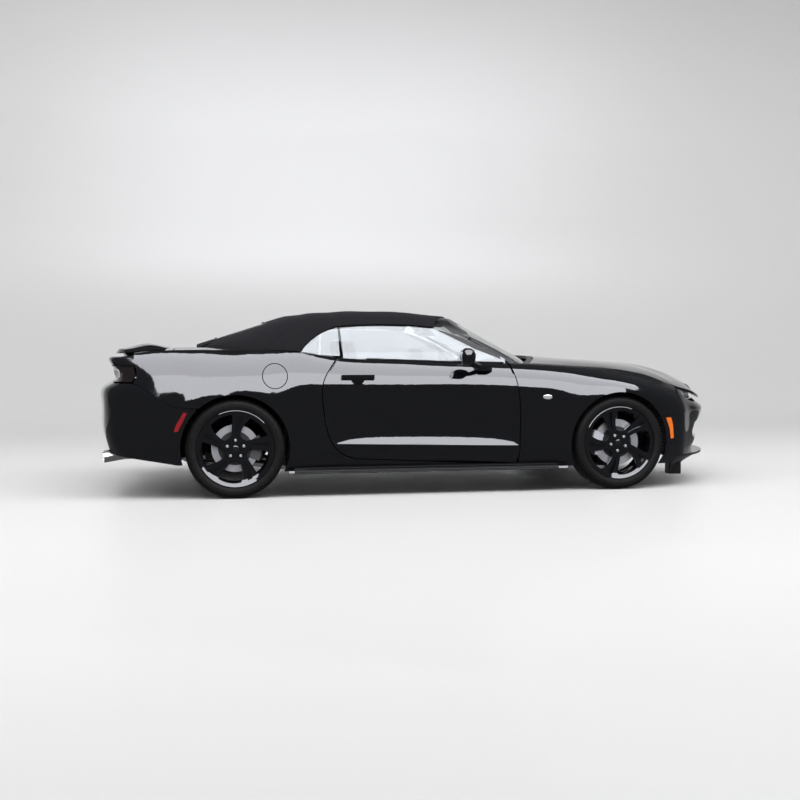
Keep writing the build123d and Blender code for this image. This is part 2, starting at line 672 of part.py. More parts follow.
def chin_blank(inset=0.0):
    """The sloping form between the blade and the foot of the air dam."""
    with BuildPart() as form:
        for z, outline in CHIN:
            half = [(x - inset, y - inset) for x, y in outline[:-1]] + [(outline[-1][0] - inset, 0)]
            with BuildSketch(Plane.XY.offset(z)):
                with BuildLine():
                    Spline(*half, *[(x, -y) for x, y in reversed(half[:-1])])
                    Line((half[0][0], -half[0][1]), half[0])
                make_face()
        loft()
    return form.part


with BuildPart() as splitter:
    # blade under the nose, and the chin that falls back from it to the air dam
    outline = [(1925, 824), (1988, 800), (2060, 752), (2200, 612), (2356, 352), (2424, 0)]
    with BuildSketch(Plane.XY.offset(226)):
        with BuildLine():
            Spline(*outline, *[(x, -y) for x, y in reversed(outline[:-1])])
            Line((outline[0][0], -outline[0][1]), outline[0])
        make_face()
    extrude(amount=16)
    add(block((1900, 1934), (-900, 900), (220, 250)), mode=Mode.SUBTRACT)
    add(chin_blank())
    add(chin_blank(24), mode=Mode.SUBTRACT)
    for side in (1, -1):
        # deflector ahead of each wheel
        with BuildSketch(Plane.XY.offset(84)):
            with Locations((1965, side * 690)):
                RectangleRounded(100, 84, 10)
        extrude(amount=100)
save(splitter.part, "splitter")

# ---------------------------------------------------------------- lamps and markers at the side and tail
with BuildPart() as tail_lamps:
    lamp_outline = straight((-2400, 812), (-2070, 812), (-2047, 855), (-2058, 918), (-2400, 918))
    add(side_prism(lamp_outline, 449, 900))
    add(rear_outer, mode=Mode.INTERSECT)
    add(end_blank(REAR_LEVELS, 70), mode=Mode.SUBTRACT)
    add(other_side(tail_lamps.part))
save(tail_lamps.part, "tail_lamps")

with BuildPart() as marker_depth:
    add(side_blank(-3, 0))
    add(side_blank(12, 0, floor=50), mode=Mode.SUBTRACT)
for outline, name in ((FRONT_MARKER, "front_markers"), (REAR_MARKER, "rear_markers")):
    with BuildPart() as marker:
        add(side_prism(outline, 780, 1000))
        add(marker_depth.part, mode=Mode.INTERSECT)
        add(other_side(marker.part))
    save(marker.part, name)

# ---------------------------------------------------------------- folding roof
# Lines along the roof: foot, waist, side roll and crown. The sides are cut to their edge afterwards.
FOOT_Y = rail((-1640, 262), (-1460, 590), (-1276, 700), (-1000, 756), (-640, 768), (-200, 772),
              (200, 766), (360, 750))
WAIST_Y = rail((-1640, 236), (-1460, 556), (-1276, 655), (-1000, 694), (-640, 700), (-200, 703),
               (200, 690), (360, 668))
WAIST_Z = rail((-1640, 1040), (-1460, 1052), (-1276, 1080), (-1000, 1110), (-640, 1120), (-200, 1125),
               (200, 1118), (360, 1106))
ROLL_Y = rail((-1640, 170), (-1460, 440), (-1276, 540), (-1000, 592), (-640, 590), (-200, 582),
              (200, 566), (360, 546))
ROLL_Z = rail((-1640, 1064), (-1460, 1104), (-1276, 1150), (-1000, 1222), (-640, 1270), (-200, 1281),
              (200, 1252), (360, 1226))
ROOF_CROWN_Z = rail((-1640, 1078), (-1560, 1104), (-1442, 1143), (-1223, 1216), (-1080, 1262), (-970, 1294),
                    (-777, 1321), (-488, 1339), (-128, 1338), (92, 1321), (200, 1310), (360, 1286))
ROOF_STATIONS = [-1640, -1555, -1460, -1370, -1270, -1140, -1000, -830, -640, -430, -200, 0, 180, 360]


def roof_blank(sink):
    """The roof's form over the full width, let in by the thickness of the stretched cloth."""
    with BuildPart() as form:
        for x in ROOF_STATIONS:
            foot = (FOOT_Y(x) - sink, 1000)
            waist = (WAIST_Y(x) - sink * 0.9, WAIST_Z(x) - sink * 0.4)
            roll = (ROLL_Y(x) - sink * 0.6, ROLL_Z(x) - sink * 0.8)
            crown = ROOF_CROWN_Z(x) - sink
            shelf = (roll[0] * 0.55, crown - (crown - roll[1]) * 0.28)
            half = [foot, waist, roll, shelf]
            with BuildSketch(Plane.YZ.offset(x)):
                with BuildLine():
                    Spline(*half, (0, crown), *[(-y, z) for y, z in reversed(half)])
                    Polyline((-foot[0], foot[1]), (-foot[0], 900), (foot[0], 900), foot)
                make_face()
        loft()
    return form.part


ROOF_SIDE_VIEW = [
    [(-1650, 1400), (-1650, 1046)],
    [(-1650, 1046), (-1276, 1034), (-1000, 1026), (-904, 1022)],
    [(-904, 1022), (-836, 1096), (-716, 1174), (-650, 1198), (-618, 1205)],
    [(-618, 1205), (-413, 1218), (-108, 1215), (92, 1197), (200, 1178), (340, 1150)],
    [(340, 1150), (340, 1400)],
    [(340, 1400), (-1650, 1400)],
]
CLOTH = 14.0  # canvas, wadding and headlining together
ROOF_FRONT = [(84, 700), (96, 616), (168, 480), (248, 280), (292, 0)]
roof_inside = roof_blank(CLOTH)
with BuildPart() as soft_top:
    add(side_prism(ROOF_SIDE_VIEW, -900, 900))
    add(roof_blank(0), mode=Mode.INTERSECT)
    add(roof_inside, mode=Mode.SUBTRACT)
    # front edge, curved in plan along the header
    with BuildSketch(Plane.XY.offset(900)):
        with BuildLine():
            Spline(*ROOF_FRONT, *[(x, -y) for x, y in reversed(ROOF_FRONT[:-1])])
            Polyline((84, -700), (84, -900), (500, -900), (500, 900), (84, 900), (84, 700))
        make_face()
    extrude(amount=500, mode=Mode.SUBTRACT)
    with BuildSketch(Plane.XY.offset(1000)):
        Polygon((-1500, 330), (-1130, 400), (-1130, -400), (-1500, -330), align=None)
        fillet(vertices(), 45)
    extrude(amount=400, mode=Mode.SUBTRACT)
save(soft_top.part, "soft_top")

with BuildPart() as rear_window:
    with BuildSketch(Plane.XY.offset(1000)):
        Polygon((-1498, 328), (-1132, 398), (-1132, -398), (-1498, -328), align=None)
        fillet(vertices(), 44)
    extrude(amount=400)
    add(roof_blank(3), mode=Mode.INTERSECT)
    add(roof_blank(9), mode=Mode.SUBTRACT)
save(rear_window.part, "rear_window")

# ---------------------------------------------------------------- windscreen and its frame
# The screen is drawn by its plan arcs at rising heights: middle x, edge x, edge y.
SCREEN = [(918, 962, 752, 716), (1010, 800, 598, 689), (1100, 640, 425, 659), (1190, 480, 255, 632),
          (1272, 328, 118, 612)]


def screen_arc(level, shift=0.0, widen=0.0):
    z, mid, side, half = level
    edge_x = side + shift
    quarter_x = mid + shift - (mid - side) * 0.27
    return (edge_x, half + widen), (quarter_x, (half + widen) * 0.56), (mid + shift, 0)


def screen_blank(thickness, widen=0.0, levels=SCREEN):
    """A curved sheet lofted through plan arcs, its outer face on the screen's lines."""
    with BuildPart() as sheet:
        for level in levels:
            with BuildSketch(Plane.XY.offset(level[0])):
                a, b, c = screen_arc(level, 0, widen)
                d, e, f = screen_arc(level, -thickness, widen)
                with BuildLine():
                    Spline(a, b, c, (b[0], -b[1]), (a[0], -a[1]))
                    Line((a[0], -a[1]), (d[0], -d[1]))
                    Spline((d[0], -d[1]), (e[0], -e[1]), f, e, d)
                    Line(d, a)
                make_face()
        loft()
    return sheet.part


HEADER_X = 359.0  # foremost point of the bar over the screen
header_foot = roof_blank(46)


def space_above(form):
    """What lies over a roof form, back from the header's front edge."""
    with BuildPart() as space:
        add(block((-300, HEADER_X), (-900, 900), (1080, 1450)))
        add(form, mode=Mode.SUBTRACT)
    return space.part


with BuildPart() as windscreen:
    add(screen_blank(12, -4))
    add(space_above(header_foot), mode=Mode.SUBTRACT)
save(windscreen.part, "windscreen")

PILLAR = [
    # height, then x and y of its front corner, its depth along the car and its width across it
    (1300, 66, 600, 66, 26), (1272, 118, 614, 62, 28), (1190, 258, 634, 62, 32), (1100, 430, 661, 64, 34),
    (1010, 602, 691, 68, 36), (918, 754, 718, 92, 40),
]
with BuildPart() as pillar:
    for z, x, y, deep, wide in PILLAR:
        with BuildSketch(Plane.XY.offset(z)):
            with BuildLine():
                Polyline((x - 4, y - 2), (x - 10, y + wide * 0.62), (x - 30, y + wide),
                         (x - deep, y + wide * 0.9), (x - deep, y - 14), (x - 26, y - 16), (x - 4, y - 2))
            make_face()
    loft()
with BuildPart() as header:
    # bar over the screen, its top under the cloth and its ends turned down to the pillars
    add(screen_blank(75, 6, levels=[(1150, 540, 310, 640), (1272, 328, 118, 616), (1310, 262, 54, 604)]))
    add(header_foot, mode=Mode.SUBTRACT)
    add(block((HEADER_X, 700), (-800, 800), (1000, 1400)), mode=Mode.SUBTRACT)
with BuildPart() as windscreen_frame:
    add(header.part)
    add(pillar.part)
    add(other_side(pillar.part))
    add(space_above(roof_inside), mode=Mode.SUBTRACT)
    add(windscreen.part, mode=Mode.SUBTRACT)
save(windscreen_frame.part, "windscreen_frame")

with BuildPart() as cowl_panel:
    add(crest)
    add(crest_under, mode=Mode.SUBTRACT)
    with BuildSketch(Plane.XY.offset(700)):
        with BuildLine():
            front = [(777, 758), (842, 624), (907, 452), (957, 231), (977, 0)]
            rear = [(744, 740), (770, 690), (850, 500), (910, 250), (926, 0)]
            Spline(*front, *[(x, -y) for x, y in reversed(front[:-1])])
            Line((777, -758), (744, -740))
            Spline(*[(x, -y) for x, y in rear], *reversed(rear[:-1]))
            Line((744, 740), (777, 758))
        make_face()
    extrude(amount=500, mode=Mode.INTERSECT)
save(cowl_panel.part, "cowl_panel")

# ---------------------------------------------------------------- side glass
# The glass leans in along these lines: half-width and height at the belt, the middle and the roof rail.
GLASS_LINES = [
    (rail((-1000, 762), (-600, 789), (0, 793), (500, 786), (760, 768)), 930),
    (rail((-1000, 718), (-600, 742), (0, 748), (500, 738), (760, 718)), 1050),
    (rail((-1000, 660), (-600, 680), (0, 686), (500, 674), (760, 652)), 1150),
    (rail((-1000, 612), (-600, 632), (0, 638), (500, 626), (760, 604)), 1215),
]


def glass_blank(thickness, shift=0.0):
    with BuildPart() as sheet:
        for x in (-1000, -600, -200, 200, 500, 760):
            outer = [(line(x) + shift, z) for line, z in GLASS_LINES]
            with BuildSketch(Plane.YZ.offset(x)):
                with BuildLine():
                    Spline(*outer)
                    Line(outer[-1], (outer[-1][0] - thickness, outer[-1][1]))
                    Spline(*[(y - thickness, z) for y, z in reversed(outer)])
                    Line((outer[0][0] - thickness, outer[0][1]), outer[0])
                make_face()
        loft()
    return sheet.part


GLASS_TOP = [(150, 1170), (92, 1184), (-108, 1202), (-413, 1205), (-612, 1192)]
with BuildPart() as door_glass:
    add(
        side_prism(
            [
                [(600, 925), (596, 968)],
                [(596, 968), (400, 1074), (150, 1170)],
                GLASS_TOP,
                [(-612, 1192), (-600, 925)],
                [(-600, 925), (600, 925)],
            ]
        )
    )
    add(glass_blank(6), mode=Mode.INTERSECT)
save(door_glass.part, "door_glass_left")
save(other_side(door_glass.part), "door_glass_right")

with BuildPart() as quarter_glass:
    add(
        side_prism(
            [
                [(-628, 1194), (-626, 990)],
                [(-626, 990), (-760, 1000), (-898, 1022)],
                [(-898, 1022), (-833, 1092), (-714, 1168), (-660, 1190), (-628, 1194)],
            ]
        )
    )
    add(glass_blank(6), mode=Mode.INTERSECT)
    add(other_side(quarter_glass.part))
save(quarter_glass.part, "quarter_glass")

# ---------------------------------------------------------------- wheels
BOLT_CIRCLE = 60.0
SPOKES = 5
FACE_SWEEP = 12.0  # how far each spoke leans from its root to its tip
SPINDLE = 30.0
RUNNING_FIT = 0.06
# tyre half width, rim half width, distance from the wheel's middle to the spoke face at the hub
WHEEL_SIZES = {"front": (122.0, 113.0, 90.0), "rear": (134.0, 125.0, 101.0)}
HUB_THICKNESS = 30.0
DISC_RADIUS = {"front": 172.0, "rear": 166.0}


def spoke_edge(radius, side, width):
    """A point on one edge of the spoke that stands upright at its root."""
    lean = radians(90 + FACE_SWEEP * (radius - 85) / 165)
    off = asin(width / radius)
    return (radius * cos(lean + side * off), radius * sin(lean + side * off))


def turned(point, angle):
    a = radians(angle)
    return (point[0] * cos(a) - point[1] * sin(a), point[0] * sin(a) + point[1] * cos(a))


def spun(profile):
    """A ring turned round the Y axis from a closed profile of (y, radius)."""
    with BuildPart() as ring:
        with BuildSketch(Plane.YZ):
            with BuildLine():
                Polyline(*profile, profile[0])
            make_face()
        revolve(axis=Axis.Y)
    return ring.part


def make_rim(kind):
    """A rim with its axis along Y, its outer face toward +Y and one spoke upright."""
    half, width, face = WHEEL_SIZES[kind]
    barrel = [
        (-width, 269), (-width + 7, 269), (-width + 9, 256), (-width + 40, 252), (-20, 240), (30, 240),
        (width - 36, 252), (width - 9, 256), (width - 7, 269), (width, 269), (width + 3, 264),
        (width - 3, 249), (width - 30, 243), (30, 232), (-20, 232), (-width + 40, 244), (-width, 247),
    ]
    with BuildPart() as wheel:
        add(spun(barrel))
        # dished face that the spokes are cut from
        with BuildSketch(Plane.YZ):
            with BuildLine():
                Spline((face, 31), (face - 1, 78), (face + 4, 150), (face + 11, 215), (width - 4, 249))
                Polyline((width - 4, 249), (width - 32, 243), (face - 12, 200), (face - 22, 120),
                         (face - HUB_THICKNESS, 84), (face - HUB_THICKNESS, 31), (face, 31))
            make_face()
        revolve(axis=Axis.Y)
        # windows between the spokes
        with BuildSketch(Plane.XZ.offset(-200)):
            with BuildLine():
                edge = ((98, 29), (140, 35), (190, 46), (237, 64))
                one = [spoke_edge(r, -1, w) for r, w in edge]
                two = [turned(spoke_edge(r, 1, w), -72) for r, w in reversed(edge)]
                Spline(*one)
                ThreePointArc(one[-1], turned((0, 241), FACE_SWEEP - 36), two[0])
                Spline(*two)
                ThreePointArc(two[-1], turned((0, 86), -36), one[0])
            make_face()
            fillet(vertices(), 8)
        window = extrude(amount=190, mode=Mode.PRIVATE)
        for i in range(SPOKES):
            add(Rot(0, 72 * i, 0) * window, mode=Mode.SUBTRACT)
        # groove that splits each spoke into two blades
        with BuildSketch(Plane.XZ.offset(-(face + 60))):
            with BuildLine():
                edge = ((104, 3), (150, 7), (200, 13), (236, 19))
                left = [spoke_edge(r, 1, w) for r, w in edge]
                right = [spoke_edge(r, -1, w) for r, w in reversed(edge)]
                Spline(*left)
                Line(left[-1], right[0])
                Spline(*right)
                Line(right[-1], left[0])
            make_face()
        groove = extrude(amount=68, mode=Mode.PRIVATE)
        for i in range(SPOKES):
            add(Rot(0, 72 * i, 0) * groove, mode=Mode.SUBTRACT)
        # nut seats, then the cap over the hub
        with Locations(Plane.XZ.offset(-(face - 2))):
            with PolarLocations(BOLT_CIRCLE, SPOKES, start_angle=90):
                Cylinder(14, 20, mode=Mode.SUBTRACT)
        with Locations((0, face - 8, 0)):
            Cylinder(33, 14, rotation=(90, 0, 0))
    return wheel.part


def make_tyre(kind):
    half, width, face = WHEEL_SIZES[kind]
    tread = TYRE_RADIUS
    profile = [
        (-width + 10, 256.5), (-width + 7, 270), (-width - 3, 272), (-half, 300), (-half + 6, 322),
        (-half + 24, 341), (-half + 60, tread), (half - 60, tread), (half - 24, 341), (half - 6, 322),
        (half, 300), (width + 3, 272), (width - 7, 270), (width - 10, 256.5),
    ]
    return spun(profile)


def make_disc(kind):
    """A vented brake disc with its hat, bored for the spindle and seated on the back of the rim."""
    r = DISC_RADIUS[kind]
    seat = WHEEL_SIZES[kind][2] - HUB_THICKNESS
    bore = SPINDLE + RUNNING_FIT
    profile = [
        (seat, bore), (seat, 83), (seat - 17, 88), (seat - 17, r), (seat - 25, r), (seat - 25, r - 56),
        (seat - 30, r - 56), (seat - 30, r), (seat - 38, r), (seat - 38, 84), (seat - 20, 78),
        (seat - 10, 74), (seat - 10, bore + 13), (seat - 34, bore + 13), (seat - 34, bore),
    ]
    return spun(profile)


def placed(part, x, side):
    """Stand a part made round the Y axis at one wheel, turned half round the upright on the right."""
    turn = Rot(0, 0, 0) if side > 0 else Rot(0, 0, 180)
    return Pos(x, side * HALF_TRACK, TYRE_RADIUS) * (turn * part)


for kind, axle in (("front", FRONT_AXLE_X), ("rear", REAR_AXLE_X)):
    rim_solid, tyre_solid, disc_solid = make_rim(kind), make_tyre(kind), make_disc(kind)
    for name, side in (("left", 1), ("right", -1)):
        # one nut stands upright on the rear wheels; the front ones have rolled on
        rolled = Rot(0, 29 if kind == "front" else 0, 0)
        save(placed(rolled * rim_solid, axle, side), f"rim_{kind}_{name}")
        save(placed(tyre_solid, axle, side), f"tyre_{kind}_{name}")
        save(placed(disc_solid, axle, side), f"brake_disc_{kind}_{name}")

# ---------------------------------------------------------------- knuckles, hub carriers and calipers
KING_PIN = 9.0
BALL_HEIGHT = 160.0


def caliper(kind, towards):
    """A caliper bridging the disc, towards being -1 behind the axle and 1 ahead of it."""
    ring = WHEEL_SIZES[kind][2] - HUB_THICKNESS - 38
    r = DISC_RADIUS[kind]
    with BuildPart() as body:
        with BuildSketch(Plane.YZ):
            Polygon((ring - 31, r - 58), (ring - 6, r - 58), (ring - 6, r + 6), (ring + 27, r + 6),
                    (ring + 27, r - 56), (ring + 38, r - 56), (ring + 42, r + 16), (ring + 34, r + 24),
                    (ring - 22, r + 24), (ring - 31, r + 14), align=None)
        revolve(axis=Axis.Y, revolution_arc=58)
    return Rot(0, 61 if towards > 0 else -119, 0) * body.part


def stand(kind):
    """Spindle, flange and upright with the caliper's bracket, about the wheel's middle."""
    seat = WHEEL_SIZES[kind][2] - HUB_THICKNESS
    with BuildPart() as upright:
        add(rod((0, -20, 0), (0, seat - 2, 0), SPINDLE))
        with BuildSketch(Plane.XZ.offset(24)):
            Polygon((-30, -140), (30, -140), (58, -40), (58, 40), (30, 140), (-30, 140), (-58, 40),
                    (-58, -40), align=None)
            fillet(vertices(), 14)
        extrude(amount=-30)
    return upright.part


with BuildPart() as knuckle:
    add(stand("front"))
    add(block((-20, 20), (-24, 6), (-172, 172)))
    for z in (-BALL_HEIGHT, BALL_HEIGHT):
        with Locations((0, 0, z)):
            Cylinder(16, 24)
    add(block((-130, -20), (-9, 6), (-36, 36)))
    add(caliper("front", -1))
    for z in (-BALL_HEIGHT, BALL_HEIGHT):
        with Locations((0, 0, z)):
            Cylinder(KING_PIN + RUNNING_FIT, 60, mode=Mode.SUBTRACT)
    # steering arm
    add(block((40, 118), (-24, -8), (-40, -20)))
front_stand = Pos(FRONT_AXLE_X, HALF_TRACK, TYRE_RADIUS) * knuckle.part
save(front_stand, "knuckle_left")
save(other_side(front_stand), "knuckle_right")

# ---------------------------------------------------------------- subframes
with BuildPart() as front_subframe:
    with BuildSketch(Plane.YZ.offset(1350)):
        Polygon((-484, 150), (484, 150), (484, 250), (430, 250), (300, 236), (-300, 236), (-430, 250),
                (-484, 250), align=None)
    extrude(amount=180)
    for side in (1, -1):
        # lower and upper wishbones with the pins that the knuckle turns on
        for low, high, foot, pin in ((147, 167, 480, (165, 199)), (525, 545, 492, (493, 527))):
            with BuildSketch(Plane.XY.offset(low)):
                Polygon((FRONT_AXLE_X - 20, side * 812), (FRONT_AXLE_X - 22, side * 622),
                        (FRONT_AXLE_X - 48, side * 590), (FRONT_AXLE_X - 110, side * foot),
                        (FRONT_AXLE_X + 110, side * foot), (FRONT_AXLE_X + 48, side * 590),
                        (FRONT_AXLE_X + 22, side * 622), (FRONT_AXLE_X + 20, side * 812), align=None)
            extrude(amount=high - low)
            add(rod((FRONT_AXLE_X, side * HALF_TRACK, pin[0]),
                    (FRONT_AXLE_X, side * HALF_TRACK, pin[1]), KING_PIN))
        # coil-over leg
        add(rod((FRONT_AXLE_X, side * 548, 160), (FRONT_AXLE_X, side * 548, 728), 32))
        with Locations(*[(FRONT_AXLE_X, side * 548, z) for z in range(274, 480, 40)]):
            Cylinder(46, 14)
        add(rod((FRONT_AXLE_X, side * 548, 250), (FRONT_AXLE_X, side * 548, 262), 46))
        add(rod((FRONT_AXLE_X, side * 548, 486), (FRONT_AXLE_X, side * 548, 498), 46))
save(front_subframe.part, "front_subframe")

with BuildPart() as rear_subframe:
    with BuildSketch(Plane.XY.offset(226)):
        with Locations((REAR_AXLE_X, 0)):
            Rectangle(420, 960)
            Rectangle(220, 760, mode=Mode.SUBTRACT)
    extrude(amount=60)
    # differential with its cover
    add(block((REAR_AXLE_X - 130, REAR_AXLE_X + 130), (-120, 120), (236, 430)))
    add(rod((REAR_AXLE_X - 160, 0, 340), (REAR_AXLE_X + 190, 0, 340), 70))
    for side in (1, -1):
        add(rod((REAR_AXLE_X, side * 100, TYRE_RADIUS), (REAR_AXLE_X, side * 790, TYRE_RADIUS), 20))
        for y in (170, 640):
            add(rod((REAR_AXLE_X, side * y, TYRE_RADIUS), (REAR_AXLE_X, side * (y + 70), TYRE_RADIUS), 38))
        # arms
        for x, z in ((-95, 238), (95, 238), (-60, 470)):
            inner = 470 if z < 400 else 520
            add(rod((REAR_AXLE_X + x, side * inner, z), (REAR_AXLE_X + x * 0.4, side * 786, z - 30), 15))
        add(block((REAR_AXLE_X - 75, REAR_AXLE_X - 45), (min(side * 470, side * 530),
                                                         max(side * 470, side * 530)), (240, 486)))
        add(rod((REAR_AXLE_X, side * 612, 226), (REAR_AXLE_X, side * 612, 728), 30))
        with Locations(*[(REAR_AXLE_X, side * 612, z) for z in range(300, 560, 42)]):
            Cylinder(44, 14)
        add(rod((REAR_AXLE_X - 40, side * 612, 226), (REAR_AXLE_X + 40, side * 612, 226), 14))
with BuildPart() as rear_stand:
    add(stand("rear"))
    add(block((20, 120), (-9, 6), (-36, 36)))
    add(caliper("rear", 1))
rear_stand_left = Pos(REAR_AXLE_X, HALF_TRACK, TYRE_RADIUS) * rear_stand.part
with BuildPart() as rear_running_gear:
    add(rear_subframe.part)
    add(rear_stand_left)
    add(other_side(rear_stand_left))
save(rear_running_gear.part, "rear_subframe")

with BuildPart() as engine_block:
    add(block((1010, 1700), (-240, 240), (300, 560)))
    with BuildSketch(Plane.YZ.offset(1030)):
        Polygon((-240, 560), (240, 560), (330, 760), (150, 840), (-150, 840), (-330, 760), align=None)
    extrude(amount=640)
    add(block((1100, 1600), (-150, 150), (240, 300)))
save(engine_block.part, "engine_block")

with BuildPart() as exhaust:
    for side in (1, -1):
        route = [(1080, side * 200, 270), (1000, side * 200, 150), (-1040, side * 200, 150),
                 (-1250, side * 300, 188), (-1620, side * 300, 188), (-1840, side * 420, 300)]
        add(block((1050, 1120), (min(side * 165, side * 235), max(side * 165, side * 235)), (262, 300)))
        for a, b in zip(route, route[1:]):
            add(rod(a, b, 30))
        for p in route[1:-1]:
            with Locations(p):
                Sphere(30)
        with BuildSketch(Plane.YZ.offset(-2150)):
            with Locations((side * 470, 318)):
                RectangleRounded(300, 124, 50)
        extrude(amount=330)
        for y in (520, 628):
            add(rod((-2145, side * (y - 20), 298), (-2284, side * y, 276), 39))
            add(rod((-2230, side * (y - 6), 284.5), (-2288, side * y, 275.4), 34), mode=Mode.SUBTRACT)
save(exhaust.part, "exhaust")

# ---------------------------------------------------------------- floor and inner structure
SILL_Y = 770.0
with BuildPart() as room_inside:
    # everything inboard of the side panels' inner sheets
    add(inner_side)
    add(block((-2390, 2100), (-10, 735), (60, 1000)))
with BuildPart() as side_frame:
    # sill, foot plate, hinge pillar and lock pillar
    add(block((-1000, 1050), (700, SILL_Y), (186, 330)))
    add(block((-1000, 1050), (764, 848), (180, 192)))
    add(block((700, 850), (716, SILL_Y), (192, 900)))
    add(block((-900, -775), (716, SILL_Y), (192, 955)))
    add(block((-1010, -1000), (556, SILL_Y), (192, 950)))
    # inner wing, tapering down to the nose, and the rail along its foot
    with BuildSketch(Plane.XZ.offset(-484)):
        Polygon((850, 250), (850, 860), (1500, 850), (1900, 740), (2060, 690), (2060, 250), align=None)
    extrude(amount=-8)
    add(block((850, 2090), (430, 490), (250, 400)))
    # boot side
    add(block((-2060, -1000), (556, 564), (500, 950)))
    # wheel housings
    for axle, inner in ((FRONT_AXLE_X, 490), (REAR_AXLE_X, 560)):
        add(rod((axle, inner, TYRE_RADIUS), (axle, 900, TYRE_RADIUS), 392))
    for axle, inner in ((FRONT_AXLE_X, 492), (REAR_AXLE_X, 555)):
        add(rod((axle, inner, TYRE_RADIUS), (axle, 960, TYRE_RADIUS), 386), mode=Mode.SUBTRACT)
    for axle in (FRONT_AXLE_X, REAR_AXLE_X):
        add(block((axle - 420, axle + 420), (480, 1000), (-100, 250)), mode=Mode.SUBTRACT)
    add(block((1810, 1850), (820, 1000), (240, 330)), mode=Mode.SUBTRACT)
    add(room_inside.part, mode=Mode.INTERSECT)
with BuildPart() as inner_structure:
    add(block((-1010, 900), (-710, 710), (186, 200)))
    add(block((-760, 900), (-150, 150), (186, 330)))
    add(block((-1010, 1000), (-140, 140), (100, 322)), mode=Mode.SUBTRACT)
    add(side_frame.part)
    add(other_side(side_frame.part))
    # firewall, bulkheads before and behind the boot, boot floor, nose panel
    add(block((850, 862), (-718, 718), (192, 900)))
    add(block((-1010, -1000), (-560, 560), (192, 1000)))
    add(block((-2190, -1000), (-560, 560), (500, 512)))
    add(block((-2190, -2180), (-640, 640), (350, 780)))
    add(block((2060, 2090), (-492, 492), (260, 640)))
# three pressings, joined behind the lock pillars and at the firewall
PRESSINGS = (("boot_tub", -2400, -975), ("floor_pan", -975, 850), ("front_structure", 850, 2300))
for name, back, front in PRESSINGS:
    with BuildPart() as pressing:
        add(inner_structure.part)
        add(block((back, front), (-1000, 1000), (0, 1200)), mode=Mode.INTERSECT)
    save(pressing.part, name)

# ---------------------------------------------------------------- cabin
def pad(size, radius, at, lean=0.0):
    """A seat pad: a box with rounded edges, leaned back about the Y axis."""
    with BuildPart() as cushion:
        Box(*size)
        fillet(cushion.edges(), radius)
    return Pos(*at) * (Rot(0, lean, 0) * cushion.part)


with BuildPart() as front_seats:
    for side in (1, -1):
        add(pad((520, 480, 150), 38, (-70, side * 385, 400)))
        add(pad((130, 470, 560), 36, (-395, side * 385, 700), -20))
        add(pad((95, 250, 150), 32, (-510, side * 385, 1030), -14))
        add(block((-250, 110), (side * 385 - 190, side * 385 + 190), (200, 340)))
save(front_seats.part, "front_seats")

with BuildPart() as rear_seat:
    add(pad((290, 1040, 160), 34, (-735, 0, 420)))
    add(pad((110, 1040, 420), 34, (-900, 0, 680), -10))
    for side in (1, -1):
        add(block((-880, -620), (min(side * 156, side * 480), max(side * 156, side * 480)), (200, 360)))
save(rear_seat.part, "rear_seat")

with BuildPart() as steering_wheel:
    with Locations(Location((440, 385, 850), (0, -24, 0))):
        with Locations(Location((0, 0, 0), (0, 90, 0))):
            Torus(172, 15)
        with Locations((6, 0, 0)):
            Cylinder(58, 40, rotation=(0, 90, 0))
        with Locations((6, 0, 0)):
            Box(18, 330, 34)
        with Locations((6, 0, -90)):
            Box(18, 40, 150)
        with Locations((90, 0, 0)):
            Cylinder(24, 170, rotation=(0, 90, 0))
save(steering_wheel.part, "steering_wheel")

with BuildPart() as dashboard:
    with BuildSketch(Plane.XZ.offset(-690)):
        with BuildLine():
            Spline((848, 900), (740, 912), (600, 898), (540, 860))
            Spline((540, 860), (560, 800), (620, 740), (650, 660))
            Polyline((650, 660), (700, 560), (848, 560), (848, 900))
        make_face()
    extrude(amount=1380)
    add(block((-260, 700), (-118, 118), (332, 520)))
    add(block((600, 760), (-118, 118), (500, 700)))
    add(steering_wheel.part, mode=Mode.SUBTRACT)
save(dashboard.part, "dashboard")

with BuildPart() as mirror_left:
    # shell, swept back at its outer end, on an arm from the door
    add(Pos(262, 985, 985) * (Rot(0, 0, 10) * pad((112, 194, 122), 52, (0, 0, 0))))
    add(rod((300, 950, 935), (396, 866, 900), 24))
    with BuildSketch(Plane.XY.offset(880)):
        Polygon((340, 862), (470, 862), (470, 884), (430, 912), (370, 912), align=None)
    extrude(amount=44)
    add(outer_side, mode=Mode.SUBTRACT)
save(mirror_left.part, "mirror_left")
save(other_side(mirror_left.part), "mirror_right")
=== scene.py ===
import math
from collections import namedtuple

import bmesh
import bpy
from mathutils import Matrix, Vector
from mathutils import noise as mathutils_noise
from mathutils.bvhtree import BVHTree


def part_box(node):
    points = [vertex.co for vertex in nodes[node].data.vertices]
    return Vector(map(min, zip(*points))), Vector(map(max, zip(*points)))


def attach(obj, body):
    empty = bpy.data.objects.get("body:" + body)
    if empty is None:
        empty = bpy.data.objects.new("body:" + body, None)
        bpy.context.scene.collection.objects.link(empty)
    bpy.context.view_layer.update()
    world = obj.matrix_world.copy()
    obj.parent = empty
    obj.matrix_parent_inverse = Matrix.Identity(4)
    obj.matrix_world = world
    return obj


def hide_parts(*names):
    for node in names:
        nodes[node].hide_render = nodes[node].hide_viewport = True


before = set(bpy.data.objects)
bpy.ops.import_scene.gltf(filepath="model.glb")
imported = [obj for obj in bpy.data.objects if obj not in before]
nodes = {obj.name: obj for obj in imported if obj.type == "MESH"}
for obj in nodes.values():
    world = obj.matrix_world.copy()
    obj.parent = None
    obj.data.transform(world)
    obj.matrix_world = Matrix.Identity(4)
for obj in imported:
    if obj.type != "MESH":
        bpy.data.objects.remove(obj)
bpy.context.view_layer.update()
SIDES = ((1, "left"), (-1, "right"))
DOWN = Vector((0, 0, -1))

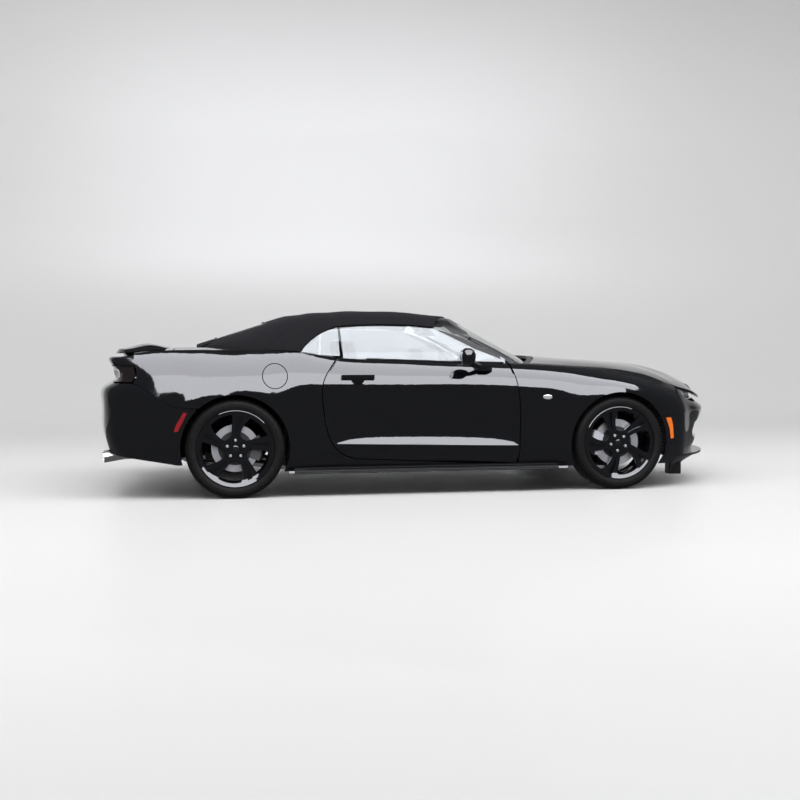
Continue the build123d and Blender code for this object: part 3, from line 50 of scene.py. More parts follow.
# ---------------------------------------------------------------- camera
# A slightly long lens at waist height, abreast of the rear wheel on the car's right.
# It is turned a little toward the nose and a little downward.
camera = bpy.data.objects.new("camera", bpy.data.cameras.new("camera"))
bpy.context.scene.collection.objects.link(camera)
camera.data.sensor_width = 36.0
camera.data.lens = 47.25
camera.location = (-1.581, -8.255, 1.0205)
camera.rotation_euler = (math.radians(90 - 2.64), 0, math.radians(-10.20))
bpy.context.scene.camera = camera
bpy.context.scene.view_settings.view_transform = "Standard"


# ---------------------------------------------------------------- studio
# A pale painted floor that curves up into a backdrop behind the car, and soft lamps over it.
# Two bright cards add the long reflections on the paint and the glass.
def studio_material(name, colour, roughness):
    material = bpy.data.materials.new(name)
    material.use_nodes = True
    shader = material.node_tree.nodes["Principled BSDF"]
    shader.inputs["Base Color"].default_value = (*colour, 1)
    shader.inputs["Roughness"].default_value = roughness
    return material


def swept_sheet(name, points, half_width, material, in_reflections):
    """A sheet swept along X over a profile of (y, z) points."""
    sheet = bmesh.new()
    profile = [sheet.verts.new((0, y, z)) for y, z in points]
    lines = [sheet.edges.new((a, b)) for a, b in zip(profile, profile[1:])]
    swept = bmesh.ops.extrude_edge_only(sheet, edges=lines)
    for v in sheet.verts:
        v.co.x = -half_width
    for v in [g for g in swept["geom"] if isinstance(g, bmesh.types.BMVert)]:
        v.co.x = half_width
    bmesh.ops.recalc_face_normals(sheet, faces=sheet.faces)
    mesh = bpy.data.meshes.new(name)
    sheet.to_mesh(mesh)
    sheet.free()
    for p in mesh.polygons:
        p.use_smooth = True
    mesh.materials.append(material)
    made = bpy.data.objects.new(name, mesh)
    bpy.context.scene.collection.objects.link(made)
    made.visible_glossy = in_reflections


STUDIO_HALF_WIDTH = 22
FLOOR_FRONT_Y, FLOOR_BACK_Y = -6.6, 2.2
COVE_Y, COVE_RADIUS, BACKDROP_TOP = 5.0, 3.0, 12.0
cove_paint = studio_material("cove_paint", (0.735, 0.732, 0.728), 0.42)
swept_sheet("studio_floor", [(FLOOR_FRONT_Y, 0), (FLOOR_BACK_Y, 0)], STUDIO_HALF_WIDTH, cove_paint, False)
cove = [(FLOOR_BACK_Y, 0), (COVE_Y, 0)]
for i in range(1, 13):
    a = math.radians(90 * i / 12)
    cove.append((COVE_Y + COVE_RADIUS * math.sin(a), COVE_RADIUS - COVE_RADIUS * math.cos(a)))
cove.append((COVE_Y + COVE_RADIUS, BACKDROP_TOP))
swept_sheet("studio_cove", cove, STUDIO_HALF_WIDTH, cove_paint, True)


def soft_lamp(name, at, aim, size, power, colour=(1, 1, 1)):
    """A rectangular lamp at a place, turned to face another."""
    data = bpy.data.lights.new(name, "AREA")
    data.shape = "RECTANGLE"
    data.size, data.size_y = size
    data.energy = power
    data.color = colour
    lamp = bpy.data.objects.new(name, data)
    bpy.context.scene.collection.objects.link(lamp)
    lamp.location = at
    lamp.rotation_euler = (Vector(aim) - Vector(at)).to_track_quat("-Z", "Y").to_euler()
    return lamp


# the cards show in reflections and light no surface; the lamps light surfaces and show in no reflection
CARD_TINT = (0.93, 0.94, 1.0)
near_card = soft_lamp("near_card", (0.9, -7.92, 4.745), (0.9, -1.96, -3.285), (10.8, 5.69), 2400, CARD_TINT)
near_card.visible_diffuse = False
top_card = soft_lamp("top_card", (1.6, -3.0, 7.4), (1.6, -0.6, 0.8), (12.2, 5.6), 2140, CARD_TINT)
top_card.visible_diffuse = False
top_lamp = soft_lamp("top_lamp", (0, -3.0, 7.5), (0, -0.6, 0.8), (34.0, 5.6), 2100)
top_lamp.visible_glossy = False
back_lamp = soft_lamp("back_lamp", (0, 2.6, 7.6), (0, 8.0, 2.0), (42.0, 2.5), 110)
back_lamp.visible_glossy = False
world = bpy.data.worlds.new("studio")
bpy.context.scene.world = world
world.use_nodes = True
world.node_tree.nodes["Background"].inputs["Color"].default_value = (0.93, 0.95, 1.0, 1)
world.node_tree.nodes["Background"].inputs["Strength"].default_value = 0.16


# ---------------------------------------------------------------- painted panels
# Pressed steel and moulded bumpers, doors, lids and mirrors, all from the CAD model.
# Black lacquer: a deep base coat with a fine flake in it, and a clear coat over it.
def finish(material, *names):
    """Give CAD nodes a material."""
    for name in names:
        if not nodes[name].material_slots:
            nodes[name].data.materials.append(material)
        for slot in nodes[name].material_slots:
            slot.material = material


def new_material(name):
    """A material, its node tree and its shader."""
    material = bpy.data.materials.new(name)
    material.use_nodes = True
    tree = material.node_tree
    return material, tree, tree.nodes["Principled BSDF"]


def noise(tree, scale, detail=2.0, roughness=0.5):
    """A noise pattern on the object's own coordinates, in metres."""
    where = tree.nodes.new("ShaderNodeTexCoord")
    pattern = tree.nodes.new("ShaderNodeTexNoise")
    pattern.inputs["Scale"].default_value = scale
    pattern.inputs["Detail"].default_value = detail
    pattern.inputs["Roughness"].default_value = roughness
    tree.links.new(where.outputs["Object"], pattern.inputs["Vector"])
    return pattern


def ramp(tree, source, low, high, start=0.3, stop=0.7):
    """Turn a pattern into a colour between two colours."""
    node = tree.nodes.new("ShaderNodeValToRGB")
    node.color_ramp.elements[0].position, node.color_ramp.elements[1].position = start, stop
    node.color_ramp.elements[0].color, node.color_ramp.elements[1].color = (*low, 1), (*high, 1)
    tree.links.new(source, node.inputs["Fac"])
    return node


def bumped(tree, shader, height, strength, distance):
    """Raise a pattern slightly from the surface."""
    bump = tree.nodes.new("ShaderNodeBump")
    bump.inputs["Strength"].default_value = strength
    bump.inputs["Distance"].default_value = distance
    tree.links.new(height, bump.inputs["Height"])
    tree.links.new(bump.outputs["Normal"], shader.inputs["Normal"])


def piece(name, shape, material, body, smooth=True):
    """Make an object of a bmesh that is already in place, and let it ride on a body."""
    mesh = bpy.data.meshes.new(name)
    shape.to_mesh(mesh)
    shape.free()
    for polygon in mesh.polygons:
        polygon.use_smooth = smooth
    mesh.materials.append(material)
    made = bpy.data.objects.new(name, mesh)
    bpy.context.scene.collection.objects.link(made)
    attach(made, body)
    return made


def black_lacquer(name):
    material, tree, shader = new_material(name)
    flake = noise(tree, 900, 1.0)
    tint = ramp(tree, flake.outputs["Fac"], (0.0035, 0.0037, 0.0048), (0.0060, 0.0063, 0.0082))
    tree.links.new(tint.outputs["Color"], shader.inputs["Base Color"])
    shader.inputs["Roughness"].default_value = 0.5
    shader.inputs["Specular IOR Level"].default_value = 0.0
    shader.inputs["Coat Weight"].default_value = 1.0
    shader.inputs["Coat Roughness"].default_value = 0.05
    return material


lacquer = black_lacquer("black_lacquer")
finish(lacquer, "bodyside_left", "bodyside_right", "fender_left", "fender_right", "door_left", "door_right")
finish(lacquer, "hood", "decklid", "fuel_flap", "front_bumper", "rear_bumper", "mirror_left", "mirror_right")


# ---------------------------------------------------------------- dark mouldings
# Black plastic: spoiler, splitter and tonneau panel polished, screen frame satin, grille, cowl and dashboard
# grained. The seals' dull rubber is made here too, for the strips and liners further down.
def black_plastic(name, roughness, grain, specular=0.5):
    material, tree, shader = new_material(name)
    pattern = noise(tree, 700, 3.0)
    tint = ramp(tree, pattern.outputs["Fac"], (0.008, 0.008, 0.009), (0.013, 0.013, 0.014))
    tree.links.new(tint.outputs["Color"], shader.inputs["Base Color"])
    shader.inputs["Roughness"].default_value = roughness
    shader.inputs["Specular IOR Level"].default_value = specular
    bumped(tree, shader, pattern.outputs["Fac"], grain, 0.0004)
    return material


polished = black_plastic("polished_plastic", 0.12, 0.05)
grained = black_plastic("grained_plastic", 0.5, 0.5)
satin = black_plastic("satin_plastic", 0.3, 0.1, 0.15)
seal_rubber = black_plastic("seal_rubber", 0.6, 0.3, 0.08)
finish(polished, "spoiler", "splitter", "tonneau_panel")
finish(satin, "windscreen_frame")
finish(grained, "grille", "cowl_panel", "dashboard")


# ---------------------------------------------------------------- folding roof
# One canvas shell over the bows: it sinks a little between them, and the light lining closes it inside.
# Felled seams run along both sides, across the rear bow and down to the deck, and the side and rear edges are
# bound with piping. It is laid on the CAD roof, which it replaces, and a rubber frame holds the rear window.
def canvas(name, low, high):
    material, tree, shader = new_material(name)
    where = tree.nodes.new("ShaderNodeTexCoord")
    threads = []
    for axis in ("X", "Y"):
        wave = tree.nodes.new("ShaderNodeTexWave")
        wave.bands_direction = axis
        wave.inputs["Scale"].default_value = 220
        wave.inputs["Distortion"].default_value = 0.6
        tree.links.new(where.outputs["Object"], wave.inputs["Vector"])
        threads.append(wave)
    weave = tree.nodes.new("ShaderNodeMath")
    weave.operation = "MULTIPLY"
    tree.links.new(threads[0].outputs["Fac"], weave.inputs[0])
    tree.links.new(threads[1].outputs["Fac"], weave.inputs[1])
    tint = ramp(tree, weave.outputs["Value"], low, high, 0.1, 0.9)
    tree.links.new(tint.outputs["Color"], shader.inputs["Base Color"])
    shader.inputs["Roughness"].default_value = 0.9
    shader.inputs["Specular IOR Level"].default_value = 0.05
    shader.inputs["Sheen Weight"].default_value = 0.02
    shader.inputs["Sheen Roughness"].default_value = 0.5
    bumped(tree, shader, weave.outputs["Value"], 0.5, 0.0008)
    return material


def surface_tree(*names):
    """A search tree over the faces of some CAD nodes, and the node that each face belongs to."""
    points, faces, owners = [], [], []
    for name in names:
        start = len(points)
        points += [v.co.copy() for v in nodes[name].data.vertices]
        for polygon in nodes[name].data.polygons:
            faces.append([start + i for i in polygon.vertices])
            owners.append(name)
    return BVHTree.FromPolygons(points, faces), owners


def tube(shape, path, radius, sides=8, closed=False):
    """Add a round cord along a path of points to a bmesh."""
    rings = []
    count = len(path)
    side = None
    for i, at in enumerate(path):
        before = path[i - 1] if i or closed else at
        after = path[(i + 1) % count] if i + 1 < count or closed else at
        along = (after - before).normalized()
        if side is None:
            side = along.orthogonal().normalized()
        side = (side - along * side.dot(along)).normalized()
        up = along.cross(side)
        ring = []
        for k in range(sides):
            a = 2 * math.pi * k / sides
            ring.append(shape.verts.new(at + side * (radius * math.cos(a)) + up * (radius * math.sin(a))))
        rings.append(ring)
    pairs = list(zip(rings, rings[1:]))
    if closed:
        pairs.append((rings[-1], rings[0]))
    for first, second in pairs:
        for k in range(sides):
            shape.faces.new((first[k], first[(k + 1) % sides], second[(k + 1) % sides], second[k]))
    if not closed:
        shape.faces.new(list(reversed(rings[0])))
        shape.faces.new(rings[-1])


roof_tree, roof_owners = surface_tree("soft_top", "rear_window")
roof_low, roof_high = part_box("soft_top")
ROOF_AXIS_Z, ROOF_REACH, END_MARGIN = 0.90, 1.5, 0.0006
STATIONS, TURNS, WIDEST = 150, 132, math.radians(85)


def roof_point(x, turn):
    """The roof's outer surface at a station and an angle from upright, or None where there is no canvas."""
    out = Vector((0, math.sin(turn), math.cos(turn)))
    start = Vector((x, 0, ROOF_AXIS_Z)) + out * ROOF_REACH
    at, normal, index = roof_tree.ray_cast(start, -out, ROOF_REACH)[:3]
    if at is None or roof_owners[index] != "soft_top" or normal.dot(out) < 0.02:
        return None
    return at


def roof_at(i, j):
    """The roof's outer surface at a place on the grid of stations and turns."""
    length = roof_high[0] - roof_low[0] - 2 * END_MARGIN
    return roof_point(roof_low[0] + END_MARGIN + length * i / STATIONS, WIDEST * (2 * j / TURNS - 1))


def edge_between(inside, outside):
    """How far from the first grid place to the second the canvas ends, and its last point."""
    near, far = 0.0, 1.0
    last = roof_at(*inside)
    for _ in range(10):
        middle = (near + far) / 2
        at = roof_at(*[a + (b - a) * middle for a, b in zip(inside, outside)])
        if at is None:
            far = middle
        else:
            near, last = middle, at
    return near, last


# each grid place next to the canvas's edge is drawn onto the edge, so the rim is smooth
grid = {(i, j): roof_at(i, j) for i in range(STATIONS + 1) for j in range(TURNS + 1)}
placed = {}
for (i, j), hit in grid.items():
    best = None
    for neighbour in ((i + 1, j), (i - 1, j), (i, j + 1), (i, j - 1)):
        if neighbour not in grid or (grid[neighbour] is None) == (hit is None):
            continue
        if hit is None:
            share, last = edge_between(neighbour, (i, j))
            share = 1 - share
        else:
            share, last = edge_between((i, j), neighbour)
        if share < 0.5 and (best is None or share < best[0]):
            best = (share, last)
    if best is not None:
        placed[i, j] = best[1]
    elif hit is not None:
        placed[i, j] = hit
shell = bmesh.new()
outer_points = {key: shell.verts.new(at) for key, at in placed.items()}
for i in range(STATIONS):
    for j in range(TURNS):
        around = ((i, j), (i + 1, j), (i + 1, j + 1), (i, j + 1))
        corners = [outer_points[place] for place in around if place in outer_points]
        if len(corners) >= 3:
            shell.faces.new(corners)
bmesh.ops.delete(shell, geom=[v for v in shell.verts if not v.link_faces], context="VERTS")
bmesh.ops.recalc_face_normals(shell, faces=shell.faces)
shell.normal_update()
if sum(f.normal.z * f.calc_area() for f in shell.faces) < 0:
    bmesh.ops.reverse_faces(shell, faces=shell.faces)
    shell.normal_update()
# the canvas sinks between the bows, and draws small creases all over
BOWS = [0.245, -0.175, -0.535, -0.824, -1.017]
SAG, CREASE_DEPTH, ROOF_THICKNESS = 0.0045, 0.0014, 0.012
normals = {v: v.normal.copy() for v in shell.verts}
for v in shell.verts:
    sunk = 0.0
    for front, back in zip(BOWS, BOWS[1:]):
        if back < v.co.x < front:
            part = (front - v.co.x) / (front - back)
            level = min(1.0, max(0.0, (v.co.z - 1.19) / 0.06))
            sunk = SAG * math.sin(math.pi * part) ** 2 * level
    crease = 0.5 + 0.5 * mathutils_noise.noise(Vector((v.co.x * 9 + v.co.z * 14, v.co.y * 5, v.co.z * 22)))
    v.co -= normals[v] * (sunk + CREASE_DEPTH * crease)
shell.normal_update()
lining_points = {v: shell.verts.new(v.co - v.normal * ROOF_THICKNESS) for v in list(shell.verts)}
outer_faces = list(shell.faces)
rim_edges = [e for e in shell.edges if len(e.link_faces) == 1]
for face in outer_faces:
    made = shell.faces.new([lining_points[v] for v in reversed(face.verts)])
    made.material_index = 1
for edge in rim_edges:
    loop = edge.link_loops[0]
    a, b = loop.vert, loop.link_loop_next.vert
    shell.faces.new((b, a, lining_points[a], lining_points[b]))
cloth = canvas("roof_canvas", (0.007, 0.007, 0.0085), (0.021, 0.021, 0.025))
lining = canvas("roof_lining", (0.30, 0.30, 0.29), (0.40, 0.40, 0.39))
roof = piece("roof_canvas", shell, cloth, "body")
roof.data.materials.append(lining)
roof.data.set_sharp_from_angle(angle=math.radians(50))
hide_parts("soft_top")
canvas_tree = BVHTree.FromPolygons([v.co.copy() for v in roof.data.vertices],
                                   [list(p.vertices) for p in roof.data.polygons])
# the seams' cross-section: share of the width, and height over the canvas
SEAM_WIDTH, SEAM_FOOT, SEAM_HEIGHT = 0.016, -0.0004, 0.0013
SEAM_SECTION = [(-0.5, SEAM_FOOT), (-0.44, SEAM_HEIGHT), (-0.1, SEAM_HEIGHT * 1.25),
                (0.1, SEAM_HEIGHT * 1.25), (0.44, SEAM_HEIGHT), (0.5, SEAM_FOOT)]


def on_canvas(x, turn):
    """A point on the finished canvas and the way its surface faces."""
    out = Vector((0, math.sin(turn), math.cos(turn)))
    start = Vector((x, 0, ROOF_AXIS_Z)) + out * ROOF_REACH
    at, normal = canvas_tree.ray_cast(start, -out, ROOF_REACH)[:2]
    return (at, normal) if at is not None and normal.dot(out) > 0 else None


def felled_seam(shape, path):
    """Add a flat doubled seam that follows the canvas to a bmesh."""
    found = [on_canvas(x, turn) for x, turn in path]
    found = [f for f in found if f is not None]
    rows = []
    for i, (at, normal) in enumerate(found):
        along = found[min(i + 1, len(found) - 1)][0] - found[max(i - 1, 0)][0]
        across = normal.cross(along).normalized()
        rows.append([shape.verts.new(at + across * (SEAM_WIDTH * s) + normal * h) for s, h in SEAM_SECTION])
    for first, second in zip(rows, rows[1:]):
        for k in range(len(SEAM_SECTION) - 1):
            shape.faces.new((first[k], first[k + 1], second[k + 1], second[k]))


seams = bmesh.new()
for side in (1, -1):
    line = []
    for k in range(160):
        x = 0.236 - 1.20 * k / 159
        reach = 0.512 + 0.03 * min(1.0, max(0.0, (0.1 - x) / 0.5))
        height = 1.235 - ROOF_AXIS_Z - 0.10 * max(0.0, -0.80 - x)
        line.append((x, side * math.atan2(reach, height)))
    felled_seam(seams, line)
    # from the rear bow down to the deck
    start = math.atan2(0.54, 0.32)
    felled_seam(seams, [(-0.962 - 0.30 * k / 60, side * (start + 0.42 * k / 60)) for k in range(61)])
felled_seam(seams, [(BOWS[-1], math.radians(-62 + 124 * k / 150)) for k in range(151)])
bmesh.ops.recalc_face_normals(seams, faces=seams.faces)
seam_piece = piece("roof_seams", seams, cloth, "body")

def last_inside(start, stop, at):
    """Step from start to stop until the canvas ends, and return its last point."""
    steps = 120
    last = None
    for k in range(steps + 1):
        found = at(start + (stop - start) * k / steps)
        if found is None:
            near, far = start + (stop - start) * (k - 1) / steps, start + (stop - start) * k / steps
            for _ in range(8):
                middle = (near + far) / 2
                if at(middle) is None:
                    far = middle
                else:
                    near, last = middle, at(middle)
            return last
        last = found
    return last


PIPING_RADIUS = 0.0042
piping = bmesh.new()
for side in (1, -1):
    edge = []
    for k in range(300):
        x = roof_low[0] + 0.06 + (roof_high[0] - roof_low[0] - 0.085) * k / 299
        found = last_inside(0.2, math.radians(88), lambda turn: roof_point(x, side * turn))
        if found is not None:
            edge.append(found + Vector((0, -side * 0.004, 0.003)))
    tube(piping, edge, PIPING_RADIUS)
edge = []
for k in range(121):
    turn = math.radians(-70 + 140 * k / 120)
    found = last_inside(-1.40, roof_low[0] - 0.01, lambda x: roof_point(x, turn))
    if found is not None:
        edge.append(found + Vector((0.004, 0, 0.001)))
tube(piping, edge, PIPING_RADIUS)
piping_piece = piece("roof_piping", piping, cloth, "body")
# moulded rubber frame round the rear window, at the last point of the glass on each ray from its middle
low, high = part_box("rear_window")
centre = Vector(((low[0] + high[0]) / 2, (low[1] + high[1]) / 2, 0))
window_tree = surface_tree("rear_window")[0]
surround = bmesh.new()
ring = []
for k in range(140):
    a = 2 * math.pi * k / 140
    last = None
    for step in range(1, 90):
        reach = step / 90 * 0.72
        probe = centre + Vector((math.cos(a) * reach * 0.5, math.sin(a) * reach, 3.0))
        at = window_tree.ray_cast(probe, DOWN, 3.0)[0]
        if at is None:
            break
        last = at
    if last is not None:
        ring.append(last + Vector((0, 0, 0.001)))
tube(surround, ring, 0.0075, closed=True)
piece("rear_window_surround", surround, grained, "body")


# ---------------------------------------------------------------- glass and lamps
# Clear screen, tinted side and rear glass, clear and dark lamp lenses, and moulded side markers.
# They are the CAD panes and lenses in their own frames and housings.
def glass(name, colour, roughness, ior, see_through):
    material, tree, shader = new_material(name)
    smear = noise(tree, 6, 2.0)
    tint = ramp(tree, smear.outputs["Fac"], tuple(0.93 * c for c in colour), colour)
    tree.links.new(tint.outputs["Color"], shader.inputs["Base Color"])
    shader.inputs["Roughness"].default_value = roughness
    shader.inputs["IOR"].default_value = ior
    shader.inputs["Transmission Weight"].default_value = see_through
    return material


finish(glass("screen_glass", (0.86, 0.91, 0.90), 0.0, 1.45, 1.0), "windscreen")
side_glass = glass("side_glass", (0.42, 0.46, 0.47), 0.0, 1.53, 1.0)
finish(side_glass, "door_glass_left", "door_glass_right", "quarter_glass")
finish(glass("rear_glass", (0.30, 0.33, 0.34), 0.0, 1.5, 1.0), "rear_window")
finish(glass("lamp_lens", (0.9, 0.92, 0.95), 0.02, 1.5, 0.9), "headlamps")
finish(glass("tail_lens", (0.014, 0.009, 0.010), 0.04, 1.5, 0.2), "tail_lamps")
finish(glass("amber_lens", (0.95, 0.20, 0.02), 0.15, 1.5, 0.0), "front_markers")
finish(glass("red_lens", (0.30, 0.010, 0.016), 0.15, 1.5, 0.0), "rear_markers")


# ---------------------------------------------------------------- wheels
# Cast alloy rims under black lacquer, and turned iron discs behind them, from the CAD model.
# Five plated hexagon nuts with domed ends hold each rim on its bolt circle.
FRONT_AXLE_X, REAR_AXLE_X, HALF_TRACK, WHEEL_Z = 1.393, -1.418, 0.800, 0.346
# turn faces the wheel outward, rolled is how far it has turned on its axle, and face is where its nuts seat
Wheel = namedtuple("Wheel", "name x y turn rolled face tyre_half rim_half")
WHEELS = [
    Wheel("front_left", FRONT_AXLE_X, HALF_TRACK, 0, 29, 0.090, 0.122, 0.113),
    Wheel("front_right", FRONT_AXLE_X, -HALF_TRACK, 180, 29, 0.090, 0.122, 0.113),
    Wheel("rear_left", REAR_AXLE_X, HALF_TRACK, 0, 0, 0.101, 0.134, 0.125),
    Wheel("rear_right", REAR_AXLE_X, -HALF_TRACK, 180, 0, 0.101, 0.134, 0.125),
]


def turned(degrees, axis):
    """The matrix of a turn about an axis."""
    return Matrix.Rotation(math.radians(degrees), 4, axis)


def wheel_place(wheel):
    """The matrix that carries a piece made round the Y axis, outside toward +Y, to its wheel."""
    middle = Matrix.Translation((wheel.x, wheel.y, WHEEL_Z))
    return middle @ turned(wheel.turn, "Z") @ turned(wheel.rolled, "Y")


def cone(shape, place, foot_radius, top_radius, depth, segments):
    bmesh.ops.create_cone(shape, cap_ends=True, segments=segments, radius1=foot_radius, radius2=top_radius,
                          depth=depth, matrix=place)


def ball(shape, place, radius, around, upward):
    bmesh.ops.create_uvsphere(shape, u_segments=around, v_segments=upward, radius=radius, matrix=place)


rims = [n for n in nodes if n.startswith("rim_")]
discs = [n for n in nodes if n.startswith("brake_disc_")]
finish(black_lacquer("rim_lacquer"), *rims)


def turned_iron(name, x):
    """Grey iron, bright where the pads run and dark on the hat, for the disc on the axle at x."""
    material, tree, shader = new_material(name)
    grain = noise(tree, 260, 4.0)
    tint = ramp(tree, grain.outputs["Fac"], (0.30, 0.30, 0.31), (0.46, 0.46, 0.47))
    where = tree.nodes.new("ShaderNodeTexCoord")
    centred = tree.nodes.new("ShaderNodeVectorMath")
    centred.operation = "SUBTRACT"
    centred.inputs[1].default_value = (x, 0, WHEEL_Z)
    flat = tree.nodes.new("ShaderNodeVectorMath")
    flat.operation = "MULTIPLY"
    flat.inputs[1].default_value = (1, 0, 1)
    far = tree.nodes.new("ShaderNodeVectorMath")
    far.operation = "LENGTH"
    # iron wider than this runs between the pads
    ring = tree.nodes.new("ShaderNodeMath")
    ring.operation = "GREATER_THAN"
    ring.inputs[1].default_value = 0.119
    # sockets 6 and 7 are the two colours to mix
    mix = tree.nodes.new("ShaderNodeMix")
    mix.data_type = "RGBA"
    mix.inputs[6].default_value = (0.03, 0.03, 0.032, 1)
    tree.links.new(where.outputs["Object"], centred.inputs[0])
    tree.links.new(centred.outputs[0], flat.inputs[0])
    tree.links.new(flat.outputs[0], far.inputs[0])
    tree.links.new(far.outputs["Value"], ring.inputs[0])
    tree.links.new(ring.outputs[0], mix.inputs[0])
    tree.links.new(tint.outputs["Color"], mix.inputs[7])
    tree.links.new(mix.outputs[2], shader.inputs["Base Color"])
    shader.inputs["Metallic"].default_value = 0.55
    shader.inputs["Roughness"].default_value = 0.38
    bumped(tree, shader, grain.outputs["Fac"], 0.2, 0.0003)
    return material


def bare_metal(name, low, high, roughness, metallic=1.0):
    material, tree, shader = new_material(name)
    pattern = noise(tree, 120, 4.0)
    tint = ramp(tree, pattern.outputs["Fac"], low, high)
    tree.links.new(tint.outputs["Color"], shader.inputs["Base Color"])
    shader.inputs["Metallic"].default_value = metallic
    shader.inputs["Roughness"].default_value = roughness
    bumped(tree, shader, pattern.outputs["Fac"], 0.15, 0.0005)
    return material


finish(turned_iron("disc_iron_front", FRONT_AXLE_X), *[n for n in discs if "front" in n])
finish(turned_iron("disc_iron_rear", REAR_AXLE_X), *[n for n in discs if "rear" in n])
plated = bare_metal("plated_nut", (0.62, 0.62, 0.63), (0.74, 0.74, 0.75), 0.22, 0.55)
NUT_CIRCLE = 0.060
for wheel in WHEELS:
    nuts = bmesh.new()
    for k in range(5):
        a = math.radians(90 + 72 * k)
        seat = Matrix.Translation((NUT_CIRCLE * math.cos(a), wheel.face - 0.004, NUT_CIRCLE * math.sin(a)))
        stand = seat @ turned(-90, "X")
        cone(nuts, stand, 0.0108, 0.0108, 0.016, 6)
        cone(nuts, stand @ Matrix.Translation((0, 0, 0.0109)), 0.0098, 0.0062, 0.006, 18)
    long_edges = [e for e in nuts.edges if e.calc_length() > 0.012]
    bmesh.ops.bevel(nuts, geom=long_edges, offset=0.0008, segments=2, affect="EDGES", profile=0.5,
                    material=-1)
    bmesh.ops.transform(nuts, matrix=wheel_place(wheel), verts=nuts.verts)
    piece("wheel_nuts_" + wheel.name, nuts, plated, "wheel_" + wheel.name, smooth=False)


# ---------------------------------------------------------------- tyres
# Low-profile rubber road tyres, spun from one profile each and seated on the rims in the CAD tyres' place.
# The sidewalls have raised rings, and the tread has four grooves and cuts across its shoulders.
def tyre_rubber(name):
    material, tree, shader = new_material(name)
    dust = noise(tree, 55, 5.0)
    tint = ramp(tree, dust.outputs["Fac"], (0.0035, 0.0035, 0.0036), (0.009, 0.009, 0.0088))
    tree.links.new(tint.outputs["Color"], shader.inputs["Base Color"])
    shader.inputs["Roughness"].default_value = 0.6
    shader.inputs["Specular IOR Level"].default_value = 0.07
    bumped(tree, shader, dust.outputs["Fac"], 0.25, 0.0006)
    return material


rubber = tyre_rubber("tyre_rubber")
# from the rim to the tread's edge: how far inside the tyre's half width, and the radius
SIDEWALL = [(0.0050, 0.2780), (0.0022, 0.2870), (0.0004, 0.2965), (0.0004, 0.3015), (0.0016, 0.3030),
            (0.0016, 0.3110), (0.0004, 0.3120), (0.0018, 0.3170), (0.0048, 0.3230), (0.0130, 0.3345),
            (0.0230, 0.3410), (0.0380, 0.3445)]
# the tread's grooves: share of the half width, and the radius at the outer lip, the floor and the inner lip
GROOVES = [(0.52, 0.3455, 0.3385, 0.3456), (0.18, 0.3460, 0.3388, 0.3460)]
SHOULDER_RADIUS = 0.3425


def tyre_half_profile(half, rim):
    """From the bead, over the sidewall and shoulder, to the middle of the tread, as (y, radius)."""
    profile = [(rim - 0.010, 0.2568), (rim - 0.0072, 0.2695), (rim + 0.0025, 0.2725)]
    profile += [(half - inset, radius) for inset, radius in SIDEWALL]
    for share, outer, floor, inner in GROOVES:
        middle = half * share
        profile += [(middle + 0.0055, outer), (middle + 0.0040, floor)]
        profile += [(middle - 0.0040, floor), (middle - 0.0055, inner)]
    return profile


for wheel in WHEELS:
    half = tyre_half_profile(wheel.tyre_half, wheel.rim_half)
    ring = half + [(-y, r) for y, r in reversed(half)]
    tyre = bmesh.new()
    points = [tyre.verts.new((0, y, r)) for y, r in ring]
    loop = [tyre.edges.new((a, b)) for a, b in zip(points, points[1:] + points[:1])]
    bmesh.ops.spin(tyre, geom=points + loop, cent=(0, 0, 0), axis=(0, 1, 0), angle=math.radians(360),
                   steps=180, use_merge=True)
    bmesh.ops.remove_doubles(tyre, verts=tyre.verts, dist=0.00001)
    # cuts across the shoulders
    shoulder = []
    for face in tyre.faces:
        middle = face.calc_center_median()
        radius = math.hypot(middle.x, middle.z)
        turn = math.degrees(math.atan2(middle.z, middle.x)) % 360
        if radius > SHOULDER_RADIUS and abs(middle.y) > wheel.tyre_half * 0.60 and int(turn / 2) % 4 == 0:
            shoulder.append(face)
    bmesh.ops.inset_individual(tyre, faces=shoulder, thickness=0.0009, depth=-0.0055)
    bmesh.ops.recalc_face_normals(tyre, faces=tyre.faces)
    bmesh.ops.transform(tyre, matrix=wheel_place(wheel), verts=tyre.verts)
    made = piece("tread_" + wheel.name, tyre, rubber, "wheel_" + wheel.name)
    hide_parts("tyre_" + wheel.name)
    made.data.set_sharp_from_angle(angle=math.radians(32))


# ---------------------------------------------------------------- running gear and exhaust
# Cast knuckles and engine block, coated subframes and floor and a brushed steel exhaust, from the CAD model.
# A thin rubber liner, open below, stands over each wheel inside its arch.
cast_alloy = bare_metal("cast_alloy", (0.30, 0.30, 0.31), (0.42, 0.42, 0.43), 0.55)
finish(cast_alloy, "knuckle_left", "knuckle_right")
frame_coating = bare_metal("frame_coating", (0.012, 0.012, 0.013), (0.03, 0.03, 0.032), 0.6, 0.0)
finish(frame_coating, "front_subframe", "rear_subframe", "floor_pan", "boot_tub", "front_structure")
LINER_RADIUS, LINER_HUB_RADIUS, LINER_OUTER_Y = 0.388, 0.13, 0.885
liners = bmesh.new()
for x, inner in ((FRONT_AXLE_X, 0.489), (REAR_AXLE_X, 0.557)):
    section = ((inner, LINER_HUB_RADIUS), (inner, LINER_RADIUS), (LINER_OUTER_Y, LINER_RADIUS))
    for side in (1, -1):
        rings = []
        for k in range(73):
            a = math.radians(-14 + 208 * k / 72)
            rings.append([liners.verts.new((x + r * math.cos(a), side * y, WHEEL_Z + r * math.sin(a)))
                          for y, r in section])
        for first, second in zip(rings, rings[1:]):
            for k in range(2):
                liners.faces.new((first[k], first[k + 1], second[k + 1], second[k]))
bmesh.ops.recalc_face_normals(liners, faces=liners.faces)
bmesh.ops.solidify(liners, geom=liners.faces, thickness=0.002)
